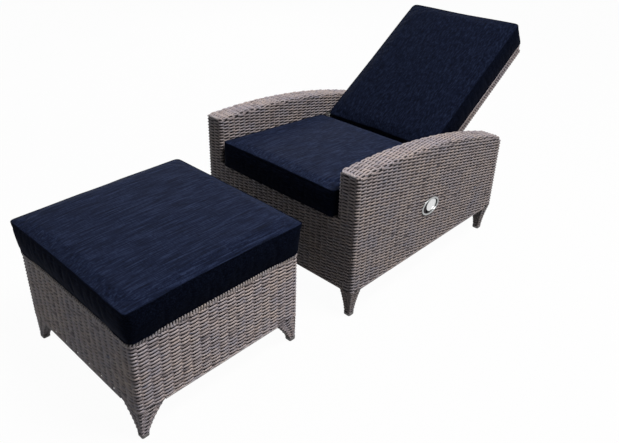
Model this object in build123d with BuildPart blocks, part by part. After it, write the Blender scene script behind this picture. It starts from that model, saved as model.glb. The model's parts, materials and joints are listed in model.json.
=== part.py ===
from build123d import *
import os
from math import atan2, cos, degrees, radians, sin, tan

os.makedirs("parts", exist_ok=True)

# A reclining wicker lounger and its footstool, in millimetres, +Z up, +X the sitter's left.
# The chair faces -Y. The origin is on the floor under the middle of the whole set.

# Woven shell of the chair
chair_width = 740.0
arm_depth = 900.0
arm_width = 82.0
arm_front_rise = 172.0
arm_rear_rise = 39.0
arm_arch_rise = 41.0
arm_corner_radius = 34.0
skirt_height = 115.0
rear_skirt_drop = 70.0
weave = 6.0
border_proud = 2.5
relief = 2.5
rib_width = 10.0
rib_pitch = 37.0

# Square tube of the welded frames
tube = 20.0
tube_wall = 1.5
tie_width = 12.0

# Legs and feet
leg_top = 60.0
leg_tip = 27.0
leg_core_top = 26.0
leg_core_tip = 14.0
leg_round = 6.0
foot_height = 12.0
foot_round = 4.0
leg_waist_share = 0.5
leg_waist_width_share = 0.42

# Seat
seat_tilt = 4.2
seat_side_gap = 10.0
seat_depth = 552.0
seat_thickness = 98.0
seat_crown = 12.0
seat_overhang = 14.0
deck_front_height = 382.0
slat_count = 8
slat_width = 40.0
slat_thickness = 5.0
slat_end = 3.0
slat_margin = 44.0
deck_gap = 0.5

# Backrest, placed from the pivot: up along the panel and out towards the sitter
pivot_behind_seat = 52.0
pivot_above_deck = 77.355
back_rise_angle = 33.9
back_travel = 40.0
back_cushion_overhang = 4.0
back_length = 667.0
back_below_pivot = 11.0
back_thickness = 98.0
back_crown = 14.0
seam_ahead_of_pivot = 35.5
panel_side_gap = 33.0
panel_length = 661.0
panel_below_pivot = 30.0
soft_gap = 0.3

# Hinge at each side of the backrest
hinge_plate = 5.0
hinge_plate_gap = 12.0
hinge_plate_round = 15.0
boss_radius = 9.0
boss_plate_round = 12.0
boss_high = 52.0
boss_low = 6.0
bolt_radius = 5.0
bolt_head_radius = 9.0
bolt_head_height = 3.5
bush_wall = 2.0
bush_flange = 2.0
bush_flange_radius = 10.0
sleeve_radius = 9.0
sleeve_play = 0.2
nut_radius = 8.5
nut_height = 6.0
running_play = 0.08
free_play = 0.3

# Gas spring under the seat, measured along its axis from the front pin
gas_axis_angle = 5.0
gas_lever_radius = 120.0
gas_rest_length = 320.0
gas_pin_radius = 5.0
gas_slot_share = 0.9
gas_slot_play = 0.8
lever_plate = 5.0
lever_plate_inside = 14.0
lever_eye_radius = 20.0
lever_neck = 32.0
head_pin_radius = 4.0
head_width = 28.0
head_height = 24.0
head_front = 12.0
head_length = 44.0
bracket_wall = 5.0
bracket_play = 1.5
pin_end = 2.5
bracket_depth = 26.0
bracket_below_pin = 14.0
rod_radius = 4.0
rod_start = 37.0
rod_end = 192.0
valve_radius = 1.5
valve_tip = 31.5
piston_length = 10.0
cylinder_radius = 12.0
cylinder_wall = 2.0
cylinder_start = 80.0
cylinder_length = 222.0
guide_length = 12.0
eye_width = 20.0
eye_radius = 12.0

# Release lever on the head of the gas spring
release_lever_at = 24.0
release_lever_plate = 4.0
release_lever_round = 5.0
release_pin_radius = 2.5
release_pin_aside = 8.0
release_arm = 36.0
release_slot_before = 8.0
release_slot_after = 12.0
nipple_radius = 3.0
nipple_length = 8.0
wire_radius = 0.8
lever_wire = 7.5
paddle_wire = 9.0
wire_hole_radius = 2.2
ear_length = 6.0
ear_height = 12.0
ferrule_radius = 3.5
ferrule_length = 12.0
conduit_radius = 2.5
conduit_play = 1.0

# Release paddle in the sitter's left arm
paddle_back = 425.0
paddle_below_deck = 91.0
bezel_half_length = 51.0
bezel_half_height = 34.0
bezel_round = 1.0
cup_half_length = 46.0
cup_half_height = 29.0
cup_wall = 2.0
cup_depth = 33.0
cup_play = 0.3
paddle_half_length = 29.5
paddle_half_height = 23.5
paddle_shift = 10.5
paddle_margin = 2.8
paddle_recess = 1.5
paddle_plate = 5.0
paddle_hinge_back = 34.0
paddle_hinge_depth = 9.0
paddle_pin_radius = 1.5
paddle_knuckle_radius = 4.0
paddle_knuckle_length = 20.0
paddle_tail = 16.0
paddle_tail_width = 9.0
paddle_tail_height = 8.0

# Footstool
stool_clearance = 183.0
stool_width = 610.0
stool_top = 343.0
stool_skirt_height = 100.0
stool_leg_top = 85.0
stool_leg_tip = 26.0
stool_leg_tip_inset = 16.0
stool_slat_count = 7
stool_cushion_overhang = 10.0
stool_cushion_thickness = 113.0
stool_crown = 14.0

# Shape of every cushion along its length: place, height and width
cushion_place_shares = (0, 0.012, 0.04, 0.12, 0.28, 0.5, 0.72, 0.88, 0.96, 0.988, 1)
cushion_height_shares = (0.84, 0.93, 0.98, 1, 1, 1, 1, 1, 0.98, 0.93, 0.84)
cushion_width_shares = (0.97, 0.985, 0.996, 1, 1, 1, 1, 1, 0.996, 0.985, 0.97)
cushion_crown_shares = (0.2, 0.3, 0.45, 0.7, 0.92, 1, 0.92, 0.7, 0.45, 0.3, 0.2)
cushion_side_bulge = 2.0

# Route of the release cable: steps from its end at the cup, then steps from the start of
# its last straight run, at the gas spring
cable_cup_steps = ((1, 41, 2), (-25, 77, 8), (-75, 82, 13), (-123, 47, 25))
cable_head_steps = ((134, 135, 47), (82, 91, 51), (38, 45, 36), (14, 23, 14))
cable_bend_share = 0.45
cable_last_run = 48.0
clip_count = 2
clip_length = 6.0
clip_reach = 60.0
clip_wall = 2.5

# Places that follow from the sizes
half_width = chair_width / 2
arm_inside = half_width - arm_width
arm_front_height = deck_front_height + arm_front_rise
arm_rear_height = deck_front_height + arm_rear_rise
rear_skirt_top = deck_front_height - rear_skirt_drop
paddle_height = deck_front_height - paddle_below_deck
seat_width = 2 * (arm_inside - seat_side_gap)
pivot_back = seat_depth - seat_overhang + pivot_behind_seat
panel_width = 2 * (arm_inside - panel_side_gap)
back_width = panel_width + 2 * back_cushion_overhang
stool_cushion_width = stool_width + 2 * stool_cushion_overhang
back_angle = radians(back_rise_angle)
panel_front = seam_ahead_of_pivot - back_thickness - soft_gap
panel_thickness = tube + 2 * weave
panel_middle = panel_front - panel_thickness / 2
panel_top = panel_length - panel_below_pivot
stool_reach = stool_clearance + stool_cushion_width
back_reach = max(
    pivot_back + panel_top * cos(back_angle) - (panel_front - panel_thickness) * sin(back_angle),
    pivot_back + (back_length - back_below_pivot) * cos(back_angle)
    - (panel_front + soft_gap) * sin(back_angle),
)
front = (stool_reach - back_reach) / 2
rear = front + arm_depth
seat_slope = radians(seat_tilt)
seat_front = front - seat_overhang
seat_plane = Plane(
    (0, seat_front, deck_front_height), x_dir=(1, 0, 0), z_dir=(0, sin(seat_slope), cos(seat_slope))
)
stool_middle = front - stool_clearance - stool_cushion_width / 2
print("Arm fronts and stool middle along Y:", front, stool_middle)
side_of = {"left": 1, "right": -1}


def deck_height(y):
    """Height of the deck's upper face at a place along the chair."""
    return deck_front_height - (y - seat_front) * tan(seat_slope)


pivot = Vector(0, front + pivot_back, deck_height(front + pivot_back) + pivot_above_deck)
back_plane = Plane(pivot, x_dir=(1, 0, 0), z_dir=(0, -sin(back_angle), cos(back_angle)))


def box_between(low, high, mode=Mode.ADD):
    """Block between two opposite corners."""
    corner = Vector(*(min(a, b) for a, b in zip(low, high)))
    with Locations(corner):
        Box(*(abs(b - a) for a, b in zip(low, high)), align=(Align.MIN, Align.MIN, Align.MIN), mode=mode)


def tube_along(start, axis, length):
    """Open square tube from the middle of its end, along one axis of the frame."""
    across = axis.cross(Vector(0, 0, 1)) if axis.Z == 0 else (1, 0, 0)
    with BuildSketch(Plane(start, x_dir=across, z_dir=axis)) as ring:
        Rectangle(tube, tube)
        Rectangle(tube - 2 * tube_wall, tube - 2 * tube_wall, mode=Mode.SUBTRACT)
    extrude(ring.sketch, amount=length)


def round_bar(plane, radius, start, end, mode=Mode.ADD):
    """Round bar along the plane's normal, between two places on it."""
    with BuildSketch(plane.offset(start)) as disc:
        Circle(radius)
    extrude(disc.sketch, amount=end - start, mode=mode)


def arm_face(inset, bottom):
    """Side outline of an arm, drawn in from its outer edge, down to the given height."""
    low = bottom - inset
    corner = (rear, arm_rear_height)
    crest = ((front + rear) / 2, (arm_front_height + arm_rear_height) / 2 + arm_arch_rise)
    with BuildSketch(Plane.XY, mode=Mode.PRIVATE) as outline:
        with BuildLine():
            Polyline(corner, (rear, low), (front, low), (front, arm_front_height))
            ThreePointArc((front, arm_front_height), crest, corner)
        make_face()
        fillet(outline.vertices().sort_by_distance(corner)[0], radius=arm_corner_radius)
        if inset > 0:
            offset(amount=-inset, kind=Kind.INTERSECTION)
    return outline.sketch


# Faces of the arm that its shell and its tubes are cut from
arm_outer_face = arm_face(0, skirt_height)
arm_lining_face = arm_face(weave, skirt_height)
loop_face = arm_face(weave, skirt_height + weave)
loop_hole_face = arm_face(weave + tube, skirt_height + weave + tube)
loop_bore_face = arm_face(weave + tube_wall, skirt_height + weave + tube_wall)
loop_core_face = arm_face(weave + tube - tube_wall, skirt_height + weave + tube - tube_wall)
loop_front = front + weave + tube
loop_rear = rear - weave - tube
loop_low = skirt_height + weave + tube
band_front_end = arm_front_height - weave
band_rear_end = arm_rear_height - arm_corner_radius - weave


def above_band_line(drop):
    """Region above the line where the arm's top piece meets its upright ones, lowered by a drop."""
    with BuildSketch(Plane.XY, mode=Mode.PRIVATE) as region:
        with BuildLine():
            Polyline(
                (front, band_front_end - drop), (rear, band_rear_end - drop),
                (rear, chair_width), (front, chair_width), close=True,
            )
        make_face()
    return region.sketch


def kept_face(*steps):
    """Outline made by adding, cutting and keeping outlines in turn."""
    with BuildSketch(Plane.XY, mode=Mode.PRIVATE) as result:
        for outline, mode in steps:
            add(outline, mode=mode)
    return result.sketch


def strip_face(start, end):
    """Upright strip of the side view between two places along the chair."""
    with BuildSketch(Plane.XY, mode=Mode.PRIVATE) as strip:
        with Locations(((start + end) / 2, 0)):
            Rectangle(end - start, 2 * chair_width)
    return strip.sketch


def deck_strip(top_drop, low_drop, start, end):
    """Strip of the side view between two drops below the deck."""
    with BuildSketch(Plane.XY, mode=Mode.PRIVATE) as strip:
        with BuildLine():
            Polyline(
                (start, deck_height(start) - top_drop), (end, deck_height(end) - top_drop),
                (end, deck_height(end) - low_drop), (start, deck_height(start) - low_drop), close=True,
            )
        make_face()
    return strip.sketch


def slab(outline, start, end, mode=Mode.ADD):
    """Plate with a side outline, between two places across the chair."""
    with BuildSketch(Plane.YZ.offset(min(start, end))) as flat:
        add(outline)
    extrude(flat.sketch, amount=abs(end - start), mode=mode)


def oval(half_length, half_height, shift=0):
    """Oval in the side view round the middle of the release cup, shifted back."""
    with BuildSketch(Plane.XY, mode=Mode.PRIVATE) as outline:
        with Locations((front + paddle_back + shift, paddle_height)):
            Ellipse(half_length, half_height)
    return outline.sketch


def leg_wrap(corner, inward, top, tip, tip_inset, top_height):
    """Woven leg that tapers from the corner above it, round its metal core."""
    sections = []
    for share, flare in ((0, 0), (leg_waist_share, leg_waist_width_share), (1, 1)):
        width = tip + (top - tip) * flare
        inset = tip_inset + (top / 2 - tip_inset) * flare
        with BuildSketch(Plane.XY.offset(foot_height + (top_height - foot_height) * share)) as section:
            with Locations((corner[0] + inward[0] * inset, corner[1] + inward[1] * inset)):
                RectangleRounded(width, width, leg_round)
        sections.append(section.sketch)
    loft(sections)
    leg_core(corner, inward, tip_inset, top_height + weave, mode=Mode.SUBTRACT)


def leg_core(corner, inward, inset, top_height, mode=Mode.ADD):
    """Metal core of a leg, from its foot up to the frame, its top inside the weave."""
    top_inset = max(inset, weave + leg_core_top / 2)
    sections = []
    for height, width, away in ((foot_height, leg_core_tip, inset), (top_height, leg_core_top, top_inset)):
        with BuildSketch(Plane.XY.offset(height)) as section:
            with Locations((corner[0] + inward[0] * away, corner[1] + inward[1] * away)):
                Rectangle(width, width)
        sections.append(section.sketch)
    loft(sections, mode=mode)


def foot_cap(corner, inward, tip, tip_inset):
    """Plastic cap under a leg, rounded towards the floor."""
    with BuildPart(mode=Mode.PRIVATE) as cap:
        with BuildSketch():
            with Locations((corner[0] + inward[0] * tip_inset, corner[1] + inward[1] * tip_inset)):
                RectangleRounded(tip, tip, leg_round)
        extrude(amount=foot_height)
        fillet(cap.faces().sort_by(Axis.Z)[0].edges(), radius=foot_round)
    add(cap.part)


def cushion(plane, width, depth, thickness, crown):
    """Cushion that lies on a plane, crowned, with its sides and ends drawn in."""
    sections = []
    for place, height, wide, rise in zip(
        cushion_place_shares, cushion_height_shares, cushion_width_shares, cushion_crown_shares
    ):
        half = width * wide / 2
        top = thickness * height
        start = plane.origin + plane.y_dir * depth * place
        with BuildSketch(Plane(start, x_dir=plane.x_dir, z_dir=-plane.y_dir)) as section:
            with BuildLine():
                Line((-half, 0), (half, 0))
                ThreePointArc((half, 0), (half + cushion_side_bulge, top / 2), (half, top))
                ThreePointArc((half, top), (0, top + crown * rise), (-half, top))
                ThreePointArc((-half, top), (-half - cushion_side_bulge, top / 2), (-half, 0))
            make_face()
        sections.append(section.sketch)
    loft(sections, ruled=True)


# Corners of the chair and of the footstool, each with the way inwards
chair_corners = {
    side: [((sign * half_width, front), (-sign, 1)), ((sign * half_width, rear), (-sign, -1))]
    for side, sign in side_of.items()
}
stool_half = stool_width / 2
stool_corners = [
    ((x * stool_half, stool_middle + y * stool_half), (-x, -y)) for x in (-1, 1) for y in (-1, 1)
]

# Heights and places in the frame
slat_drop = slat_thickness / cos(seat_slope)
rail_drop = slat_drop + tube / cos(seat_slope)
inner_loop = arm_inside + weave
outer_loop = half_width - weave - tube
front_rail_top = deck_height(loop_front) - soft_gap

# Tube loops inside the arms, with the seat rail and the pivot post
top_region = above_band_line(tube)
loop_regions = (
    ((top_region, Mode.INTERSECT),),
    ((strip_face(front, loop_front), Mode.INTERSECT), (top_region, Mode.SUBTRACT)),
    ((strip_face(loop_rear, rear), Mode.INTERSECT), (top_region, Mode.SUBTRACT)),
    ((strip_face(loop_front, loop_rear), Mode.INTERSECT), (top_region, Mode.SUBTRACT)),
)
tie_places = (
    (front + arm_depth / 4, loop_low - tube / 2), (rear - arm_depth / 4, loop_low - tube / 2),
    (loop_front - tube / 2, deck_height(front)), (loop_rear + tube / 2, rear_skirt_top),
)
post_half = tube / 2
post_hollow = post_half - tube_wall
for side, sign in side_of.items():
    with BuildPart() as arm_frame:
        for across in (inner_loop, outer_loop):
            for region in loop_regions:
                wall = kept_face((loop_face, Mode.ADD), (loop_hole_face, Mode.SUBTRACT), *region)
                bore = kept_face((loop_bore_face, Mode.ADD), (loop_core_face, Mode.SUBTRACT), *region)
                low, high = sorted((sign * across, sign * (across + tube)))
                with BuildPart(mode=Mode.PRIVATE) as run:
                    slab(wall, low, high)
                    slab(bore, low + tube_wall, high - tube_wall, mode=Mode.SUBTRACT)
                add(run.part)
        for along, height in tie_places:
            box_between(
                (sign * (inner_loop + tube), along - tie_width / 2, height - tie_width / 2),
                (sign * outer_loop, along + tie_width / 2, height + tie_width / 2),
            )
        low, high = sorted((sign * inner_loop, sign * (inner_loop + tube)))
        post_start = pivot.Y - post_half
        with BuildPart(mode=Mode.PRIVATE) as seat_rail:
            slab(deck_strip(slat_drop, rail_drop, loop_front, post_start), low, high)
            slab(
                deck_strip(slat_drop + tube_wall, rail_drop - tube_wall, loop_front, post_start),
                low + tube_wall, high - tube_wall, mode=Mode.SUBTRACT,
            )
        add(seat_rail.part)
        with BuildPart(mode=Mode.PRIVATE) as post:
            wall = strip_face(post_start, pivot.Y + post_half)
            bore = strip_face(pivot.Y - post_hollow, pivot.Y + post_hollow)
            slab(kept_face((loop_hole_face, Mode.ADD), (wall, Mode.INTERSECT)), low, high)
            slab(
                kept_face((loop_hole_face, Mode.ADD), (bore, Mode.INTERSECT)),
                low + tube_wall, high - tube_wall, mode=Mode.SUBTRACT,
            )
            round_bar(
                Plane(pivot, z_dir=(1, 0, 0)), bolt_radius + running_play, low, high, mode=Mode.SUBTRACT
            )
        add(post.part)
    arm_frame.part.label = f"{side}_arm_frame"
    export_step(arm_frame.part, f"parts/{side}_arm_frame.step")

# Metal core of each leg, under the loops
with BuildPart() as leg_cores:
    for corners in chair_corners.values():
        for corner, inward in corners:
            leg_core(corner, inward, leg_top / 2, skirt_height + weave)
leg_cores.part.label = "leg_cores"
export_step(leg_cores.part, "parts/leg_cores.step")

# Gas spring: its lever swings equally far to both sides of square to the spring
gas_axis = radians(gas_axis_angle)
lever_rest = radians(gas_axis_angle - 90 - back_travel / 2)
gas_along = Vector(0, cos(gas_axis), sin(gas_axis))
gas_tail = pivot + Vector(0, cos(lever_rest), sin(lever_rest)) * gas_lever_radius
gas_pin = gas_tail - gas_along * gas_rest_length
gas_line = Plane(gas_pin, x_dir=(1, 0, 0), z_dir=gas_along)
gas_side = Plane(gas_pin, x_dir=gas_along, z_dir=(1, 0, 0))
gas_top = Plane(gas_pin, x_dir=(1, 0, 0), z_dir=gas_side.y_dir)
gas_rail_top = deck_height(gas_pin.Y + tube / 2) - slat_drop - soft_gap
bracket_outside = head_width / 2 + bracket_play + bracket_wall

# Rails across the chair
with BuildPart() as cross_rails:
    for along, height in (
        (loop_front - tube / 2, front_rail_top - tube / 2),
        (loop_front - tube / 2, loop_low - tube / 2),
        (loop_rear + tube / 2, rear_skirt_top - tube / 2),
        (loop_rear + tube / 2, loop_low - tube / 2),
        (gas_pin.Y, gas_rail_top - tube / 2),
    ):
        tube_along(Vector(-inner_loop, along, height), Vector(1, 0, 0), 2 * inner_loop)
cross_rails.part.label = "cross_rails"
export_step(cross_rails.part, "parts/cross_rails.step")

# Slats that carry the seat cushion
slat_pitch = (seat_depth - slat_margin - slat_width) / (slat_count - 1)
slat_reach = inner_loop + tube - slat_end
with BuildPart() as seat_slats:
    for number in range(slat_count):
        middle = slat_margin + slat_width / 2 + slat_pitch * number
        with BuildSketch(seat_plane):
            with Locations((0, middle)):
                Rectangle(2 * slat_reach, slat_width)
        extrude(amount=-slat_thickness)
seat_slats.part.label = "seat_slats"
export_step(seat_slats.part, "parts/seat_slats.step")

# Woven shell of each arm
side_region = above_band_line(0)
band_face = kept_face(
    (arm_outer_face, Mode.ADD), (arm_lining_face, Mode.SUBTRACT), (side_region, Mode.INTERSECT)
)
end_face = kept_face(
    (arm_outer_face, Mode.ADD), (arm_lining_face, Mode.SUBTRACT), (side_region, Mode.SUBTRACT)
)
lining_face = kept_face(
    (arm_lining_face, Mode.ADD), (deck_strip(-chair_width, -deck_gap, front, rear), Mode.INTERSECT)
)
rib_count = round(arm_depth / rib_pitch)
with BuildSketch(Plane.XY, mode=Mode.PRIVATE) as rib_strips:
    with Locations((front + arm_depth / 2, 0)):
        with GridLocations(arm_depth / rib_count, 0, rib_count, 1):
            Rectangle(rib_width, 2 * chair_width)
rib_face = kept_face((arm_lining_face, Mode.ADD), (rib_strips.sketch, Mode.INTERSECT))
for side, sign in side_of.items():
    with BuildPart() as arm_top_weave:
        slab(band_face, sign * arm_inside, sign * (half_width + border_proud))
    arm_top_weave.part.label = f"{side}_arm_top_weave"
    export_step(arm_top_weave.part, f"parts/{side}_arm_top_weave.step")

    with BuildPart() as arm_end_weaves:
        slab(end_face, sign * arm_inside, sign * half_width)
    arm_end_weaves.part.label = f"{side}_arm_end_weaves"
    export_step(arm_end_weaves.part, f"parts/{side}_arm_end_weaves.step")

    with BuildPart() as arm_outer_weave:
        slab(arm_lining_face, sign * (half_width - weave), sign * (half_width - relief))
        slab(rib_face, sign * (half_width - relief), sign * half_width)
        if side == "left":
            pad = oval(bezel_half_length, bezel_half_height)
            slab(pad, half_width - relief, half_width)
            hole = oval(cup_half_length + cup_play, cup_half_height + cup_play)
            slab(hole, half_width - weave, half_width, mode=Mode.SUBTRACT)
    arm_outer_weave.part.label = f"{side}_arm_outer_weave"
    export_step(arm_outer_weave.part, f"parts/{side}_arm_outer_weave.step")

    with BuildPart() as arm_inner_weave:
        slab(lining_face, sign * arm_inside, sign * inner_loop)
        low, high = sorted((sign * arm_inside, sign * inner_loop))
        round_bar(Plane(pivot, z_dir=(1, 0, 0)), sleeve_radius + free_play, low, high, mode=Mode.SUBTRACT)
    arm_inner_weave.part.label = f"{side}_arm_inner_weave"
    export_step(arm_inner_weave.part, f"parts/{side}_arm_inner_weave.step")

# Woven skirts between the arms
with BuildPart() as front_skirt_weave:
    box_between((-arm_inside, front, skirt_height), (arm_inside, front + weave, front_rail_top))
front_skirt_weave.part.label = "front_skirt_weave"
export_step(front_skirt_weave.part, "parts/front_skirt_weave.step")

with BuildPart() as rear_skirt_weave:
    box_between((-arm_inside, rear - weave, skirt_height), (arm_inside, rear, rear_skirt_top))
rear_skirt_weave.part.label = "rear_skirt_weave"
export_step(rear_skirt_weave.part, "parts/rear_skirt_weave.step")

# Woven legs and their feet
with BuildPart() as leg_wraps:
    for corners in chair_corners.values():
        for corner, inward in corners:
            leg_wrap(corner, inward, leg_top, leg_tip, leg_top / 2, skirt_height)
leg_wraps.part.label = "leg_wraps"
export_step(leg_wraps.part, "parts/leg_wraps.step")

with BuildPart() as foot_caps:
    for corners in chair_corners.values():
        for corner, inward in corners:
            foot_cap(corner, inward, leg_tip, leg_top / 2)
foot_caps.part.label = "foot_caps"
export_step(foot_caps.part, "parts/foot_caps.step")

with BuildPart() as seat_cushion:
    cushion(seat_plane.offset(soft_gap), seat_width, seat_depth, seat_thickness, seat_crown)
seat_cushion.part.label = "seat_cushion"
export_step(seat_cushion.part, "parts/seat_cushion.step")

# Hinge: bolts through the pivot posts, with a spacer sleeve and a nut at each side
across = Plane(pivot, x_dir=(0, 1, 0), z_dir=(1, 0, 0))
plate_inside = panel_width / 2 + hinge_plate_gap
plate_outside = plate_inside + hinge_plate
sleeve_start = plate_outside + bush_flange + sleeve_play
nut_start = inner_loop + tube
bolt_end = nut_start + nut_height + bolt_radius / 2
with BuildPart() as hinge_bolts:
    for sign in side_of.values():
        bolt = across if sign > 0 else Plane(pivot, x_dir=(0, 1, 0), z_dir=(-1, 0, 0))
        head_end = plate_inside - sleeve_play
        round_bar(bolt, bolt_head_radius, head_end - bolt_head_height, head_end)
        round_bar(bolt, bolt_radius, head_end, bolt_end)
hinge_bolts.part.label = "hinge_bolts"
export_step(hinge_bolts.part, "parts/hinge_bolts.step")

with BuildPart() as hinge_sleeves:
    for sign in side_of.values():
        bolt = across if sign > 0 else Plane(pivot, x_dir=(0, 1, 0), z_dir=(-1, 0, 0))
        round_bar(bolt, sleeve_radius, sleeve_start, inner_loop)
        round_bar(bolt, bolt_radius + running_play, sleeve_start, inner_loop, mode=Mode.SUBTRACT)
hinge_sleeves.part.label = "hinge_sleeves"
export_step(hinge_sleeves.part, "parts/hinge_sleeves.step")

with BuildPart() as hinge_nuts:
    for sign in side_of.values():
        bolt = across if sign > 0 else Plane(pivot, x_dir=(0, 1, 0), z_dir=(-1, 0, 0))
        with BuildSketch(bolt.offset(nut_start)) as nut:
            RegularPolygon(nut_radius, 6)
            Circle(bolt_radius + running_play, mode=Mode.SUBTRACT)
        extrude(nut.sketch, amount=nut_height)
hinge_nuts.part.label = "hinge_nuts"
export_step(hinge_nuts.part, "parts/hinge_nuts.step")

# Bracket and pin that hold the head of the gas spring under its rail
with BuildPart() as gas_bracket:
    bracket_top = gas_rail_top - tube
    bracket_front = gas_pin.Y - bracket_depth / 2
    bracket_rear = gas_pin.Y + bracket_depth / 2
    bracket_low = gas_pin.Z - bracket_below_pin
    box_between(
        (-bracket_outside, bracket_front, bracket_low), (bracket_outside, bracket_rear, bracket_top)
    )
    box_between(
        (bracket_wall - bracket_outside, bracket_front, bracket_low),
        (bracket_outside - bracket_wall, bracket_rear, bracket_top - bracket_wall), mode=Mode.SUBTRACT,
    )
    round_bar(
        gas_side, head_pin_radius + running_play, -bracket_outside, bracket_outside, mode=Mode.SUBTRACT
    )
gas_bracket.part.label = "gas_bracket"
export_step(gas_bracket.part, "parts/gas_bracket.step")

with BuildPart() as head_pin:
    round_bar(gas_side, head_pin_radius, -bracket_outside - pin_end, bracket_outside + pin_end)
head_pin.part.label = "head_pin"
export_step(head_pin.part, "parts/head_pin.step")

# Release handle in the sitter's left arm: bezel, cup and pin
cup_bottom = half_width - cup_depth
with BuildPart() as release_bezel:
    slab(oval(bezel_half_length, bezel_half_height), half_width, half_width + border_proud)
    fillet(release_bezel.faces().sort_by(Axis.X)[-1].edges(), radius=bezel_round)
    mouth = oval(cup_half_length - cup_wall, cup_half_height - cup_wall)
    slab(mouth, half_width, half_width + border_proud, mode=Mode.SUBTRACT)
release_bezel.part.label = "release_bezel"
export_step(release_bezel.part, "parts/release_bezel.step")

hinge_y = front + paddle_back + paddle_hinge_back
hinge_x = half_width - paddle_hinge_depth
paddle_axis = Plane((hinge_x, hinge_y, paddle_height), x_dir=(1, 0, 0), z_dir=(0, 0, 1))
paddle_pin_half = cup_half_height * (1 - (paddle_hinge_back / cup_half_length) ** 2) ** 0.5 - cup_wall / 2
nipple_x = hinge_x - paddle_tail
ferrule_start = front + paddle_back + cup_half_length
cable_line = Plane((nipple_x, ferrule_start, paddle_height), x_dir=(1, 0, 0), z_dir=(0, 1, 0))
with BuildPart() as release_cup:
    slab(oval(cup_half_length, cup_half_height), cup_bottom, half_width)
    slab(
        oval(cup_half_length - cup_wall, cup_half_height - cup_wall), cup_bottom + cup_wall, half_width,
        mode=Mode.SUBTRACT,
    )
    round_bar(paddle_axis, paddle_pin_radius, -paddle_pin_half, paddle_pin_half, mode=Mode.SUBTRACT)
    round_bar(cable_line, wire_hole_radius, -2 * cup_wall, cup_wall, mode=Mode.SUBTRACT)
    round_bar(cable_line, ferrule_radius, -cup_wall / 2, cup_wall, mode=Mode.SUBTRACT)
release_cup.part.label = "release_cup"
export_step(release_cup.part, "parts/release_cup.step")

with BuildPart() as paddle_pin:
    round_bar(paddle_axis, paddle_pin_radius, -paddle_pin_half, paddle_pin_half)
paddle_pin.part.label = "paddle_pin"
export_step(paddle_pin.part, "parts/paddle_pin.step")

with BuildPart() as cup_ferrule:
    round_bar(cable_line, ferrule_radius, -cup_wall / 2, ferrule_length)
    round_bar(cable_line, wire_hole_radius, -cup_wall / 2, ferrule_length, mode=Mode.SUBTRACT)
cup_ferrule.part.label = "cup_ferrule"
export_step(cup_ferrule.part, "parts/cup_ferrule.step")

# Release cable: straight runs joined by arcs, from the cup to the head of the gas spring
ear_start = head_length - ear_length
release_point = gas_line.from_local_coords(Vector(release_arm, 0, 0))
cable_end_line = Plane(release_point, x_dir=(1, 0, 0), z_dir=gas_along)
cable_start = cable_line.origin + cable_line.z_dir * ferrule_length
cable_end = cable_end_line.origin + gas_along * (head_length + ferrule_length + conduit_play)
last_run = cable_end + gas_along * cable_last_run
cable_points = [
    cable_start, *(cable_start + Vector(*step) for step in cable_cup_steps),
    *(last_run + Vector(*step) for step in cable_head_steps), last_run, cable_end,
]
runs = [b - a for a, b in zip(cable_points, cable_points[1:])]
cable_radii = [
    cable_bend_share * min(a.length, b.length) / tan(radians(a.get_angle(b)) / 2)
    for a, b in zip(runs, runs[1:])
]
print("Bend radii of the release cable:", [round(radius, 1) for radius in cable_radii])
with BuildLine(mode=Mode.PRIVATE):
    cable_path = FilletPolyline(*cable_points, radius=cable_radii)
print("Length of the release cable:", round(cable_path.length, 1))
with BuildPart() as cable_conduit:
    with BuildSketch(cable_line.offset(ferrule_length)) as section:
        Circle(conduit_radius)
    sweep(section.sketch, path=cable_path)
print("Volume over section times length:", cable_conduit.part.volume / (
    section.sketch.area * cable_path.length
))
cable_conduit.part.label = "cable_conduit"
export_step(cable_conduit.part, "parts/cable_conduit.step")

with BuildPart() as cable_clips:
    for number in range(len(cable_cup_steps), len(cable_cup_steps) + clip_count):
        middle = (cable_points[number] + cable_points[number + 1]) / 2
        with BuildPart(mode=Mode.PRIVATE) as clip:
            clip_line = Plane(middle, x_dir=runs[number].cross(Vector(0, 0, 1)), z_dir=runs[number])
            clip_half = conduit_radius + clip_wall
            with BuildSketch(clip_line.offset(-clip_length / 2)) as section:
                with Locations((0, -clip_half)):
                    Rectangle(2 * clip_half, clip_reach, align=(Align.CENTER, Align.MIN))
                Circle(conduit_radius, mode=Mode.SUBTRACT)
            extrude(section.sketch, amount=clip_length)
            split(bisect_by=seat_plane.offset(-slat_thickness), keep=Keep.BOTTOM)
        add(clip.part)
cable_clips.part.label = "cable_clips"
export_step(cable_clips.part, "parts/cable_clips.step")

# Panel of the backrest: side and cross tubes between woven faces, with woven edges
up_panel = back_plane.y_dir
tube_low = -panel_below_pivot
tube_high = panel_top - weave
side_tube_middle = panel_width / 2 - weave - tube / 2
side_tube_inside = side_tube_middle - tube / 2


def on_back(x, up, out):
    """Place on the backrest, from its pivot line."""
    return back_plane.from_local_coords(Vector(x, up, out))


def back_plate(half_x, up_low, up_high, out_low, out_high, x_low=None):
    """Flat plate of the backrest's panel."""
    low_x = -half_x if x_low is None else x_low
    with BuildSketch(back_plane.offset(out_low)) as plate:
        with Locations(((low_x + half_x) / 2, (up_low + up_high) / 2)):
            Rectangle(half_x - low_x, up_high - up_low)
    extrude(plate.sketch, amount=out_high - out_low)


with BuildPart() as back_side_tubes:
    for sign in side_of.values():
        tube_along(on_back(sign * side_tube_middle, tube_low, panel_middle), up_panel, tube_high - tube_low)
back_side_tubes.part.label = "back_side_tubes"
export_step(back_side_tubes.part, "parts/back_side_tubes.step")

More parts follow.
